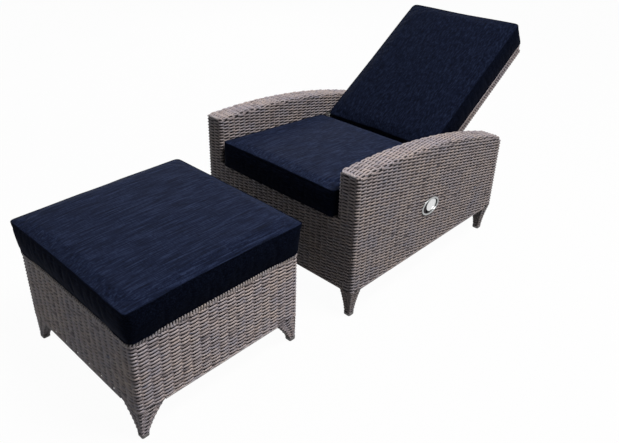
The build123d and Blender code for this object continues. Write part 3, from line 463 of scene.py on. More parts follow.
def plain(name, colour, roughness, metallic=0.0, speck=0.06, depth=0.0003):
    """Moulded, cast or coated surface with a fine grain in its colour, gloss and relief."""
    material, shader, node, link = new_material(name)
    grain = noise(node, link, Scale=260.0, Detail=3.0)
    low = tuple(c * (1 - speck) for c in colour)
    high = tuple(min(c * (1 + speck), 1) for c in colour)
    link(toned(node, link, grain, ((0.35, low), (0.65, high))), shader.inputs["Base Color"])
    least = max(roughness - GLOSS_SPREAD, LEAST_ROUGHNESS)
    uneven_gloss(node, link, shader, grain, least, roughness + GLOSS_SPREAD)
    relief(node, link, shader, grain, strength=0.25, distance=depth)
    shader.inputs["Metallic"].default_value = metallic
    return material


def cloth(name, along, lean=0.0, depth=1.0, slub=11.0):
    """Heathered navy cloth with slubs along one direction and a fine plain weave; a depth below 1 gives a
    darker copy with less sheen and gloss, as painted shade.
    """
    material, shader, node, link = new_material(name)
    slub_scale, cross_scale = [230.0] * 3, [620.0] * 3
    slub_scale[along], cross_scale[1 - along] = slub, 60.0
    slub_place = scaled_place(node, link, slub_scale, lean)
    cross_place = scaled_place(node, link, cross_scale, lean)
    both = node("ShaderNodeMix", data_type="FLOAT", Factor=0.30)
    link(noise(node, link, slub_place, Scale=1.0, Detail=4.0, Roughness=0.62), both.inputs["A"])
    link(noise(node, link, cross_place, Scale=1.0, Detail=2.0), both.inputs["B"])
    # Painted shade: a depth below 1 dims these colours, and the sheen and gloss set below
    tones = dimmed(CLOTH_TONES, depth)
    link(toned(node, link, both.outputs["Result"], tones), shader.inputs["Base Color"])
    relief(node, link, shader, both.outputs["Result"], strength=0.5, distance=0.0006)
    shader.inputs["Roughness"].default_value = 0.88
    shader.inputs["Sheen Weight"].default_value = 0.03 * depth
    shader.inputs["Sheen Roughness"].default_value = 0.45
    shader.inputs["Sheen Tint"].default_value = (0.30, 0.36, 0.55, 1)
    shader.inputs["Specular IOR Level"].default_value = 0.08 * depth
    return material


# The chair's woven sides, linings, legs and hems take the stool's wicker at 0.72 of its brightness: painted
# shade
CHAIR_WICKER_PAINTED_SHADE = wicker("wicker_chair_painted_shade", (13.0, 13.0, 168.0), level=0.72)
STOOL_WICKER = wicker("wicker_stool", (13.0, 13.0, 168.0))
CROSS_WICKER = wicker("wicker_across", (11.0, 150.0, 150.0))
ARM_WICKER = wicker("wicker_lengthwise", (165.0, 13.0, 60.0))
EDGE_WICKER = wicker("wicker_edge", (75.0, 75.0, 75.0), EDGE_TONES)
# Near-black stakes, linings and backings behind the weave: painted shade for the hollows between the strands
PAINTED_SHADE_CORE = plain("stake_shadow", (0.010, 0.008, 0.009), 0.9, speck=0.3)
FRAME_COAT = plain("frame_coat", (0.055, 0.050, 0.046), 0.48, speck=0.1)
STEEL = plain("zinc_steel", (0.56, 0.56, 0.55), 0.34, metallic=1.0)
BEZEL_GREY = plain("bezel_metal", (0.42, 0.43, 0.43), 0.32, metallic=0.9, speck=0.03, depth=FINE_GRAIN)
SILVER = plain("silver_handle", (0.78, 0.79, 0.79), 0.22, metallic=0.85, speck=0.02, depth=FINE_GRAIN)
CUP_BLACK = plain("cup_black", (0.010, 0.010, 0.011), 0.5, speck=0.2)
FOOT_GREY = plain("foot_grey", (0.20, 0.19, 0.19), 0.6, speck=0.15)
BLACK_PLASTIC = plain("black_plastic", (0.016, 0.016, 0.017), 0.4)
BLACK_PAINT = plain("black_paint", (0.012, 0.012, 0.013), 0.3)

NODE_MATERIALS = {
    FRAME_COAT: (
        "left_arm_frame", "right_arm_frame", "leg_cores", "cross_rails", "seat_slats", "back_side_tubes",
        "back_cross_tubes", "stool_frame", "stool_slats",
    ),
    STEEL: (
        "hinge_bolts", "hinge_sleeves", "hinge_nuts", "gas_bracket", "head_pin", "paddle_pin", "cup_ferrule",
        "hinge_plates", "gas_lever", "gas_head", "gas_rod", "gas_piston", "lever_pin", "head_ferrule",
        "gas_eye", "tail_pin", "release_lever", "lever_nipple", "paddle_nipple",
    ),
    BEZEL_GREY: ("release_bezel",),
    SILVER: ("release_paddle",),
    CUP_BLACK: ("release_cup",),
    FOOT_GREY: ("foot_caps", "stool_foot_caps"),
    BLACK_PLASTIC: ("cable_conduit", "cable_clips", "hinge_bushes", "gas_guide"),
    BLACK_PAINT: ("gas_cylinder",),
    CROSS_WICKER: ("back_front_weave",),
}
for material, names in NODE_MATERIALS.items():
    for name in names:
        thing = frame["nodes"][name]
        thing.data.materials.clear()
        thing.data.materials.append(material)
        for polygon in thing.data.polygons:
            polygon.material_index = 0


# Woven shell of the chair
def raised(flat, height):
    """Places seen from above, lifted to a height."""
    return np.column_stack([flat, np.broadcast_to(height, len(flat))])


def level_line(outline, share, height):
    """Places on an outline at a height, with their outward and upward directions."""
    place, out = outline.at(share * outline.length)
    return raised(place, height), raised(out, 0), np.tile([0.0, 0.0, 1.0], (len(place), 1))


def level_surface(outline, low=BOTTOM):
    """Surface of level rows one above another along an outline, row 0 at its low edge."""
    def surface(share, row):
        return level_line(outline, share, low + (row + 0.5) * ROW)

    return surface


STAKE_SHARES = np.array([-1.0, -0.5, 0.0, 0.5, 1.0])


def upright_stakes(mesh, outline, lengths, heights, width=STAKE_WIDTH):
    """Stakes behind the rows, bent as the outline, for the painted shade seen between the strands; heights
    gives the low and high end at each place.
    """
    low, high = heights(*outline.at(lengths)[0].T)
    for length, bottom, top in zip(lengths, low, high):
        if top - bottom < ROW:
            continue
        around = length + STAKE_SHARES * width / 2
        around = around % outline.length if outline.closed else np.clip(around, 0, outline.length)
        place, out = outline.at(around)
        place = place - out * (STAKE_SINK + STAKE_ARCH * STAKE_SHARES ** 2)[:, None]
        mesh.strip(np.stack([raised(place, bottom), raised(place, top)]))


def liner(mesh, outline, heights):
    """Lining behind an outline, from the low to the high end at each place, for the painted shade inside the
    weave.
    """
    place, out = outline.at(np.linspace(0, outline.length, int(outline.length / LINER_STEP)))
    low, high = heights(*place.T)
    back = place - out * LINER_SINK
    mesh.strip(np.stack([raised(back, low), raised(back, np.maximum(high, low))], 1))


def arm_heights(x, y):
    """Low and high end of an arm's outer weave above the seat's edge."""
    return np.full(len(x), SEAT_TOP), arm_top(y) - ARM_EDGE / 2


def lower_heights(x, y):
    """Low and high end of the chair's outer weave below the seat's edge."""
    at_rear = (np.abs(x) < INSIDE) & (y > (FRONT + REAR) / 2)
    return np.full(len(x), BOTTOM), np.where(at_rear, REAR_TOP, SEAT_TOP)


def lining_heights(_, y):
    """Low and high end of the weave on the inner side of an arm."""
    return deck_height(y) + DECK_CLEARANCE, arm_top(y) - ARM_EDGE / 2


def mirrored(corners, side):
    """Corners given for the sitter's left side, turned over for the right one."""
    return [(side * x, y) for x, y in corners][::side]


SKIRT_ROWS = int((SEAT_TOP - BOTTOM) / ROW)
REAR_ROWS = int((REAR_TOP - BOTTOM) / ROW)
ARM_ROWS = int((ARM_FRONT_HEIGHT - BOTTOM) / ROW)
LINING_ROW = int((float(deck_height(REAR)) - BOTTOM) / ROW)
half_corners = [(0, FRONT), (HALF, FRONT), (HALF, REAR), (0, REAR)]
ring_corners = [(INSIDE, FRONT), (HALF, FRONT), (HALF, REAR), (INSIDE, REAR)]
FRONT_STAKES = 2 * round(HALF / STAKE / 2)
SIDE_STAKES = 2 * round((REAR - FRONT) / STAKE / 2)
END_STAKES = round((HALF - INSIDE) / STAKE)


def on_arm(x, y, z):
    """Lower rows of an arm's outer weave, cut round the release cup."""
    reach = np.hypot((y - CUP_MIDDLE[0]) / CUP_HALF[0], (z - CUP_MIDDLE[1]) / CUP_HALF[1])
    in_cup = (x > HALF - CUP_DEPTH) & (reach < 1)
    return (np.abs(x) > INSIDE - ARM_OVERLAP) & ~in_cup


def in_front(x, y, z):
    """Rows of the front skirt, one sample into each arm."""
    return (np.abs(x) < INSIDE + SAMPLE_SPARE) & (y < 0)


def behind(x, y, z):
    """Rows of the rear skirt, one sample into each arm."""
    return (np.abs(x) < INSIDE + SAMPLE_SPARE) & (y > 0) & (z < REAR_TOP)


def faces_seat(x):
    """Whether a place on an arm's ring is on its inner side."""
    return np.abs(x) < INSIDE + INNER_TOUCH


def rows_end(y):
    """Height where an arm's level rows stop: under its rounded long edge, or under the rope at an end."""
    at_end = (y < FRONT + CORNER / 2) | (y > REAR - CORNER / 2)
    return arm_top(y) - np.where(at_end, 0, ARM_EDGE - ROW / 2)


def upper_arm(x, y, z):
    """Upper rows of an arm, but for its inner side."""
    end = CORNER + SAMPLE_SPARE
    inner = faces_seat(x) & (y > FRONT + end) & (y < REAR - end)
    return ~inner & (z < rows_end(y))


def arm_lining(x, y, z):
    """Rows on an arm's inner side, above the deck and round the hinge sleeve."""
    clear = np.hypot(y - PIVOT[1], z - PIVOT[2]) > SLEEVE_HOLE
    return faces_seat(x) & (z > lining_heights(x, y)[0]) & (z < rows_end(y)) & clear


core = Mesh()
front_skirt, rear_skirt = Mesh(), Mesh()
for side, word in ((1, "left"), (-1, "right")):
    half = Outline(mirrored(half_corners, side), CORNER, closed=False)
    ring = Outline(mirrored(ring_corners, side), CORNER)
    marks, turns = stations(half, (FRONT_STAKES, SIDE_STAKES, FRONT_STAKES))
    arm, lining = Mesh(), Mesh()
    woven(front_skirt, level_surface(half), range(SKIRT_ROWS), marks, turns, in_front)
    woven(rear_skirt, level_surface(half), range(REAR_ROWS), marks, turns, behind)
    woven(arm, level_surface(half), range(SKIRT_ROWS), marks, turns, on_arm)
    ring_counts = (END_STAKES, SIDE_STAKES, END_STAKES, SIDE_STAKES)
    ring_marks, ring_turns = stations(ring, ring_counts, FRONT_STAKES - END_STAKES)
    around = level_surface(ring)
    woven(arm, around, range(SKIRT_ROWS, ARM_ROWS), ring_marks, ring_turns, upper_arm, closed=True)
    woven(lining, around, range(LINING_ROW, ARM_ROWS), ring_marks, ring_turns, arm_lining, closed=True)
    arm.piece(f"{word}_arm_rows", CHAIR_WICKER_PAINTED_SHADE, "chair", f"{word}_arm_outer_weave", f"{word}_arm_end_weaves")
    lining.piece(f"{word}_arm_lining", CHAIR_WICKER_PAINTED_SHADE, "chair", f"{word}_arm_inner_weave")
    upright_stakes(core, half, marks[::STEPS] * half.length, lower_heights)
    ring_stakes = ring_marks[::STEPS] * ring.length
    inner_stakes = faces_seat(ring.at(ring_stakes)[0][:, 0])
    upright_stakes(core, ring, ring_stakes[~inner_stakes], arm_heights)
    upright_stakes(core, ring, ring_stakes[inner_stakes], lining_heights)
    liner(core, half, lower_heights)
    liner(core, ring, arm_heights)
front_skirt.piece("front_skirt_rows", CHAIR_WICKER_PAINTED_SHADE, "chair", "front_skirt_weave")
rear_skirt.piece("rear_skirt_rows", CHAIR_WICKER_PAINTED_SHADE, "chair", "rear_skirt_weave")


# Tops of the arms: strands along the arch, side by side across the arm and over its two long edges
ARCH_SAMPLES = 2400
EDGE_WAVES = 0.25
arch_y = FRONT + (REAR - FRONT) * (1 - np.cos(np.linspace(0, pi, ARCH_SAMPLES))) / 2
arch_z = arm_top(arch_y)
arch_run = np.concatenate([[0], np.cumsum(np.hypot(np.diff(arch_y), np.diff(arch_z)))])
TOP_FLAT = HALF - INSIDE - 2 * ARM_EDGE
TOP_WIDTH = TOP_FLAT + pi * ARM_EDGE
TOP_ROWS = round(TOP_WIDTH / ROW)


def arch_at(run):
    """Places and directions along the arch in the side view, at lengths along it."""
    ends = np.clip([run - ROW / 4, run + ROW / 4], 0, arch_run[-1])
    dy, dz = (np.diff(np.interp(ends, arch_run, line), axis=0)[0] for line in (arch_y, arch_z))
    size = np.hypot(dy, dz)
    return np.interp(run, arch_run, arch_y), np.interp(run, arch_run, arch_z), dy / size, dz / size


def arch_surface(side):
    """Surface of strands along an arm's arch, row 0 low on its inner side and the last low on its outer."""
    def surface(share, row):
        run = (row + 0.5) / TOP_ROWS * TOP_WIDTH
        turned = np.clip(run / ARM_EDGE, 0, pi / 2) + np.clip((run - TOP_FLAT) / ARM_EDGE - pi / 2, 0, pi / 2)
        reach = np.clip(run - pi / 2 * ARM_EDGE, 0, TOP_FLAT) - TOP_FLAT / 2 - ARM_EDGE * np.cos(turned)
        fall = ARM_EDGE * (1 - np.sin(turned))
        y, z, ty, tz = arch_at(share * arch_run[-1])
        half = (HALF - INSIDE) / 2
        inset = round_drop(FRONT + CORNER - y, CORNER) + round_drop(y - REAR + CORNER, CORNER)
        x = side * ((HALF + INSIDE) / 2 + reach * (1 - inset / half))
        place = np.column_stack([x, y + tz * fall, z - ty * fall])
        level, upward = -side * np.cos(turned), np.sin(turned)
        out = np.column_stack([np.full(len(y), level), -tz * upward, ty * upward])
        across = np.column_stack([np.full(len(y), upward), side * tz * level, -side * ty * level])
        return place, out, across * (1, side, side)

    return surface


def backing(mesh, surface, shares, rows, sink):
    """Sheet behind a surface, over the given shares and rows, for the painted shade behind the weave."""
    grid = []
    for row in rows:
        place, out, _ = surface(np.asarray(shares, float), row)
        grid.append(place - out * sink)
    mesh.strip(np.array(grid))


arch_marks, arch_turns = spaced(SIDE_STAKES)
arch_ends = ROW / 2 / arch_run[-1]
arch_marks = arch_ends + (1 - 2 * arch_ends) * arch_marks
stake_share = STAKE_WIDTH / 2 / arch_run[-1]
for side, word in ((1, "left"), (-1, "right")):
    surface = arch_surface(side)
    top = Mesh()
    woven(top, surface, range(1, TOP_ROWS - 1), arch_marks, arch_turns)
    woven(top, surface, (0, TOP_ROWS - 1), arch_marks, arch_turns, waves=EDGE_WAVES)
    top.piece(f"{word}_arm_top", ARM_WICKER, "chair", f"{word}_arm_top_weave")
    across_rows = np.linspace(0, TOP_ROWS - 1, TOP_ROWS)
    for middle in arch_marks[::STEPS]:
        shares = np.clip([middle - stake_share, middle, middle + stake_share], arch_ends, 1 - arch_ends)
        backing(core, surface, shares, across_rows, STAKE_SINK)
    backing(core, surface, np.linspace(arch_ends, 1 - arch_ends, 4 * SIDE_STAKES), across_rows, LINER_SINK)


# Ropes along the edges
def rope(mesh, path, radius, pitch, groove, sides=12, closed=True):
    """Rope along close points, with one ridge that winds round it once in every pitch."""
    path = np.asarray(path, float)
    ahead = np.roll(path, -1, 0) - np.roll(path, 1, 0) if closed else np.gradient(path, axis=0)
    ahead /= np.linalg.norm(ahead, axis=1)[:, None]
    beside = np.cross(ahead, (0.0, 0.0, 1.0))
    beside /= np.linalg.norm(beside, axis=1)[:, None]
    above = np.cross(beside, ahead)
    step = np.linalg.norm(np.diff(np.vstack([path, path[:1]]), axis=0), axis=1)
    run = np.concatenate([[0], np.cumsum(step)])
    length = run[-1] if closed else run[-2]
    turns = max(round(length / pitch), 1)
    angle = np.linspace(0, 2 * pi, sides + 1)
    phase = angle[None, :] + 2 * pi * turns * run[:-1, None] / length
    reach = radius * (1 - groove * (1 - np.abs(np.cos(phase / 2)) ** ROPE_POWER))
    grid = path[:, None, :] + (
        beside[:, None, :] * (reach * np.cos(angle))[..., None]
        + above[:, None, :] * (reach * np.sin(angle))[..., None]
    )
    mesh.strip(grid, closed=closed)


def level_rope(mesh, a, b, height, radius, pitch, groove, points):
    """Straight level rope between two places seen from above."""
    a, b = np.array(a, float), np.array(b, float)
    count = int(np.linalg.norm(b - a) / (pitch / points))
    rope(mesh, raised(np.linspace(a, b, count), height), radius, pitch, groove, closed=False)


def hem(mesh, low, high, height, margin):
    """Thin ropes along the bottom of a woven box, between its legs; low and high are its corners."""
    for y in (low[1] + HEM_ROPE_INSET, high[1] - HEM_ROPE_INSET):
        level_rope(mesh, (low[0] + margin, y), (high[0] - margin, y), height, **HEM_ROPE)
    for x in (low[0] + HEM_ROPE_INSET, high[0] - HEM_ROPE_INSET):
        level_rope(mesh, (x, low[1] + margin), (x, high[1] - margin), height, **HEM_ROPE)


ropes = Mesh()
for side in (1, -1):
    middle, reach = side * (HALF + INSIDE) / 2, (HALF - INSIDE) / 2 - CORNER
    for y in (FRONT + ARM_ROPE_INSET, REAR - ARM_ROPE_INSET):
        height = float(arm_top(y)) - ARM_ROPE_INSET
        level_rope(ropes, (middle - reach, y), (middle + reach, y), height, **ARM_ROPE)
hems = Mesh()
hem(hems, (-HALF, FRONT), (HALF, REAR), BOTTOM, LEG_TOP - HEM_OVERLAP)


# Legs
def leg_surface(corner, inward, top, tip, tip_inset, high):
    """Surface of level rings round a leg, row 0 just above its foot."""
    def surface(share, row):
        height = FOOT + (row + 0.5) * ROW
        part = min((height - FOOT) / (high - FOOT), 1)
        flare = (1 - LEG_FLARE_SHARE) * part + LEG_FLARE_SHARE * part * part
        half = (tip + (top - tip) * flare) / 2
        inset = tip_inset + (top / 2 - tip_inset) * flare
        x, y = corner[0] + inward[0] * inset, corner[1] + inward[1] * inset
        ring = Outline(box_corners((x - half, y - half), (x + half, y + half)), LEG_CORNER * half)
        return level_line(ring, share, height)

    return surface


def woven_legs(mesh, painted_shade_mesh, low, high, top, tip, tip_inset, height):
    """Woven legs under the corners of a box, with stakes and lining behind the rows for their painted shade;
    low and high are its corners.
    """
    rows = round((height - FOOT) / ROW)
    levels = np.linspace(-LEG_LEVEL_SPARE_SHARE, rows - 1 + LEG_LEVEL_SPARE_SHARE, LEG_LEVELS)
    ring = Outline(box_corners((-1, -1), (1, 1)), LEG_CORNER)
    marks, turns = stations(ring, (LEG_PITCHES,) * 4)
    for x, y in ((1, 1), (1, -1), (-1, 1), (-1, -1)):
        corner = (high[0] if x > 0 else low[0], high[1] if y > 0 else low[1])
        surface = leg_surface(corner, (-x, -y), top, tip, tip_inset, height)
        woven(mesh, surface, range(rows), marks, turns, closed=True, waves=LEG_WAVES)
        backing(painted_shade_mesh, surface, np.linspace(0, 1, LEG_LINER_POINTS), levels, LEG_LINER_SINK)
        for middle in marks[::STEPS]:
            shares = (middle + STAKE_SHARES * LEG_STAKE_SHARE / LEG_PITCHES) % 1
            backing(painted_shade_mesh, surface, shares, levels, STAKE_SINK)


legs = Mesh()
woven_legs(legs, core, (-HALF, FRONT), (HALF, REAR), LEG_TOP, LEG_TIP, LEG_TOP / 2, BOTTOM)
legs.piece("chair_leg_rows", CHAIR_WICKER_PAINTED_SHADE, "chair", "leg_wraps")
ropes.piece("arm_ropes", EDGE_WICKER, "chair")
hems.piece("chair_hems", CHAIR_WICKER_PAINTED_SHADE, "chair")
core.piece("chair_stakes", PAINTED_SHADE_CORE, "chair", smooth=False)

# Back panel: woven rear, and strands wrapped over its edges
RISE = radians(33.9)
UP = np.array([0.0, cos(RISE), sin(RISE)])
TOWARDS = np.array([0.0, -sin(RISE), cos(RISE)])
ACROSS = np.array([1.0, 0.0, 0.0])
PANEL_HALF = 0.255
PANEL_LOW = -0.030
PANEL_HIGH = 0.631
PANEL_REAR = -0.0948
PANEL_FRONT = -0.0628
PANEL_CORNER = 0.010
WRAP = 0.006
WRAP_PITCHES = 3
WRAP_WAVES = 0.8
WRAP_TURN = 2.2
WRAP_POWER = 5


def on_back(x, up, towards):
    """Places on the backrest, from its pivot line."""
    x, up, towards = (np.asarray(v, float)[..., None] for v in (x, up, towards))
    return PIVOT + ACROSS * x + UP * up + TOWARDS * towards


def panel_surface(share, row):
    """Rear face of the panel, its rows one above another."""
    count = len(share)
    up = PANEL_LOW + (row + 0.5) * ROW
    place = on_back((2 * share - 1) * PANEL_HALF, np.full(count, up), np.full(count, PANEL_REAR))
    return place, np.tile(-TOWARDS, (count, 1)), np.tile(UP, (count, 1))


EDGE_CORNERS = box_corners((-PANEL_HALF, PANEL_LOW), (PANEL_HALF, PANEL_HIGH))
EDGE = Outline(EDGE_CORNERS, PANEL_CORNER, closed=False)


def edge_surface(share, row):
    """Edge of the panel: each strand runs across its thickness and wraps its two corners."""
    flat, out = EDGE.at(np.array([(row + 0.5) * ROW]))
    run = share * (PANEL_FRONT - PANEL_REAR + 2 * WRAP)
    deep = np.clip(run - WRAP, 0, PANEL_FRONT - PANEL_REAR)
    over = np.abs(run - WRAP - deep)
    x, up = flat[0, 0] - out[0, 0] * over, flat[0, 1] - out[0, 1] * over
    place = on_back(x, up, PANEL_REAR + deep)
    facing = ACROSS * out[0, 0] + UP * out[0, 1]
    lean = np.clip((2 * share - 1)[:, None] * WRAP_TURN, -1, 1) ** WRAP_POWER
    normal = facing * (1 - np.abs(lean)) + TOWARDS * lean
    normal /= np.linalg.norm(normal, axis=1)[:, None]
    along = ACROSS * -out[0, 1] + UP * out[0, 0]
    return place, normal, np.tile(along, (len(share), 1))


panel, panel_core, edges = Mesh(), Mesh(), Mesh()
panel_rows = int((PANEL_HIGH - PANEL_LOW) / ROW)
panel_pitches = round(2 * PANEL_HALF / STAKE)
woven(panel, panel_surface, range(panel_rows), *spaced(panel_pitches))
half_share = STAKE_WIDTH / 4 / PANEL_HALF
span = np.array([0, panel_rows - 1])
for middle in np.arange(1, panel_pitches) / panel_pitches:
    backing(panel_core, panel_surface, [middle - half_share, middle, middle + half_share], span, STAKE_SINK)
backing(panel_core, panel_surface, [0, 0.5, 1], span, LINER_SINK)
woven(edges, edge_surface, range(int(EDGE.length / ROW)), *spaced(WRAP_PITCHES), waves=WRAP_WAVES)
backing(panel_core, edge_surface, [0, 0.5, 1], range(0, int(EDGE.length / ROW), 2), LINER_SINK / 2)
panel.piece("back_rows", CROSS_WICKER, "backrest", "back_rear_weave")
edges.piece("back_edge_wrap", CROSS_WICKER, "backrest", "back_edge_weave")
panel_core.piece("back_stakes", PAINTED_SHADE_CORE, "backrest", smooth=False)

# Footstool
STOOL_LOW = STOOL_LEGS[1][2]
STOOL_HALF = (STOOL[1][0] - STOOL[0][0]) / 2
STOOL_TOP = STOOL[1][2]
STOOL_MIDDLE = (STOOL[0][1] + STOOL[1][1]) / 2
near, far = STOOL_MIDDLE - STOOL_HALF, STOOL_MIDDLE + STOOL_HALF
STOOL_BOX = (-STOOL_HALF, near), (STOOL_HALF, far)
SQUARE = Outline(box_corners(*STOOL_BOX), STOOL_CORNER)
RIM_DEPTH = 0.0150
RIM_PITCH = 0.0095
RIM_SLANT = 0.0070
RIM_BOW = 0.0042
RIM_POWER = 4
RIM_WIDTH = 0.0046
RIM_CLEARANCE = 0.003
RIM_STEPS = np.linspace(0, 1, 6)
STOOL_ROWS = int((STOOL_TOP - RIM_DEPTH + ROW - STOOL_LOW) / ROW)


def stool_heights(x, _):
    """Low and high end of the footstool's weave."""
    return np.full(len(x), STOOL_LOW), np.full(len(x), STOOL_TOP - RIM_CLEARANCE)


stool_weave, stool_core, stool_ropes = Mesh(), Mesh(), Mesh()
marks, turns = stations(SQUARE, (2 * round(STOOL_HALF / STOOL_STAKE),) * 4)
woven(stool_weave, level_surface(SQUARE, STOOL_LOW), range(STOOL_ROWS), marks, turns, closed=True)
upright_stakes(stool_core, SQUARE, marks[::STEPS] * SQUARE.length, stool_heights, STOOL_STAKE_WIDTH)
liner(stool_core, SQUARE, stool_heights)
woven_legs(
    stool_weave, stool_core, *STOOL_BOX, STOOL_LEG_TOP, STOOL_LEG_TIP, STOOL_TIP_INSET, STOOL_LOW,
)
rim_pitch = SQUARE.length / round(SQUARE.length / RIM_PITCH)
rim_offset = RIM_BOW * (1 - (2 * RIM_STEPS - 1) ** RIM_POWER) - SINK
rim_widths = np.full(len(RIM_STEPS), RIM_WIDTH)
for start in np.arange(0, SQUARE.length - rim_pitch / 2, rim_pitch):
    shares = (start + RIM_SLANT * RIM_STEPS) % SQUARE.length / SQUARE.length
    path, out, _ = level_line(SQUARE, shares, STOOL_TOP)
    path[:, 2] -= RIM_DEPTH * (1 - RIM_STEPS)
    strand(stool_ropes, path, out, np.cross(out, (0, 0, 1)), rim_offset, rim_widths)
hem(stool_ropes, *STOOL_BOX, STOOL_LOW, STOOL_LEG_TOP - HEM_OVERLAP)
stool_weave.piece(
    "stool_rows", STOOL_WICKER, "footstool", "stool_front_weave", "stool_rear_weave", "stool_left_weave",
    "stool_right_weave", "stool_leg_wraps",
)
stool_ropes.piece("stool_ropes", EDGE_WICKER, "footstool")
stool_core.piece("stool_stakes", PAINTED_SHADE_CORE, "footstool", smooth=False)


# Cushions
def dimples(x, y):
    """Slight unevenness over the top of a cushion, between about -1.6 and 1.6."""
    return np.sin(7.1 * x + 1.3) * np.sin(6.3 * y + 0.4) + 0.6 * np.sin(13 * x - 2 * y) * np.sin(11 * y + x)


def boxed(unit, size, crown, corner, taper):
    """Places on a boxed cushion that lies flat, for points of a cube from -1 to 1."""
    half = np.array(size) / 2
    place = unit * half
    turn = np.clip(place[:, :2], -(half[:2] - corner), half[:2] - corner)
    away = place[:, :2] - turn
    longest = np.abs(away).max(1)
    reach = np.hypot(away[:, 0], away[:, 1])
    place[:, :2] = turn + away * np.where(reach > 0, longest / np.maximum(reach, TINY), 1)[:, None]
    x, y, up = place[:, 0] / half[0], place[:, 1] / half[1], (unit[:, 2] + 1) / 2
    middle_x, middle_y = np.cos(np.clip(x, -1, 1) * pi / 2), np.cos(np.clip(y, -1, 1) * pi / 2)
    drawn = taper * (1 - up)
    place[:, 0] -= np.sign(x) * np.abs(x) ** SIDE_POWER * (drawn + PULL * middle_y ** 2)
    place[:, 1] -= np.sign(y) * np.abs(y) ** SIDE_POWER * (drawn + PULL * middle_x ** 2)
    flat = np.clip(1 - x * x, 0, 1) * np.clip(1 - y * y, 0, 1)
    swell = crown * flat ** CROWN_POWER
    place[:, 2] = up * (size[2] - DROP + swell + DROP * np.maximum(middle_x, middle_y) ** FALL_POWER)
    place[:, 2] += np.where(up > TOP_SHARE, UNEVEN * dimples(x, y) * flat ** FALL_POWER, 0)
    return place


def cube_grid(cuts):
    """Points and faces of a cube from -1 to 1, cut into a grid on each side."""
    axes = [np.linspace(-1, 1, n + 1) for n in cuts]
    points, faces, count = [], [], 0
    for fixed in range(3):
        u, v = [k for k in range(3) if k != fixed]
        for sign in (-1, 1):
            grid = np.zeros((len(axes[u]), len(axes[v]), 3))
            grid[..., u] = axes[u][:, None]
            grid[..., v] = axes[v][None, :]
            grid[..., fixed] = sign
            index = np.arange(grid[..., 0].size).reshape(grid.shape[:2]) + count
            quads = np.stack([index[:-1, :-1], index[1:, :-1], index[1:, 1:], index[:-1, 1:]], -1)
            quads = quads.reshape(-1, 4)
            points.append(grid.reshape(-1, 3))
            faces.append(quads if (sign > 0) == (fixed != 1) else quads[:, ::-1])
            count += index.size
    return np.concatenate(points), np.concatenate(faces)


def seam_ring(height):
    """Points round a cube from -1 to 1 at a height, for the seam of a cushion."""
    side = np.linspace(-1, 1, SEAM_SAMPLES, endpoint=False)
    one = np.ones(SEAM_SAMPLES)
    ring = np.concatenate([
        np.column_stack([side, -one]), np.column_stack([one, side]),
        np.column_stack([-side, one]), np.column_stack([-one, -side]),
    ])
    return raised(ring, height)


def coordinates(mesh):
    """Points of a mesh as rows."""
    values = np.empty(len(mesh.vertices) * 3)
    mesh.vertices.foreach_get("co", values)
    return values.reshape(-1, 3)


def settle(thing):
    """Gives a thing the mesh that its modifiers make, and removes them."""
    graph = bpy.context.evaluated_depsgraph_get()
    thing.data = bpy.data.meshes.new_from_object(thing.evaluated_get(graph))
    thing.modifiers.clear()


def swell_up(thing, seams):
    """Blows the cushion up as cloth that its seams hold; no point moves further than the cap."""
    tree = KDTree(len(seams))
    for i, point in enumerate(seams):
        tree.insert(point, i)
    tree.balance()
    start = coordinates(thing.data)
    held = thing.vertex_groups.new(name="seams")
    for i, point in enumerate(start):
        away = tree.find(point)[2]
        weight = 1 - min(max((away - SEAM_HOLD) / SEAM_HOLD, 0), 1)
        if weight > 0:
            held.add([i], weight, "REPLACE")
    modifier = thing.modifiers.new("cloth", "CLOTH")
    for key, value in CLOTH.items():
        setattr(modifier.settings, key, value)
    modifier.settings.effector_weights.gravity = 0
    modifier.settings.vertex_group_mass = "seams"
    modifier.point_cache.frame_start = 1
    modifier.point_cache.frame_end = CLOTH_FRAMES
    scene = bpy.context.scene
    for number in range(1, CLOTH_FRAMES + 1):
        scene.frame_set(number)
    settle(thing)
    scene.frame_set(1)
    moved = coordinates(thing.data) - start
    size = np.linalg.norm(moved, axis=1)[:, None]
    moved *= np.minimum(1, CAP / np.maximum(size, TINY))
    place = start + moved
    place[:, 2] = np.maximum(place[:, 2], 0)
    thing.data.vertices.foreach_set("co", place.ravel())
    thing.vertex_groups.clear()


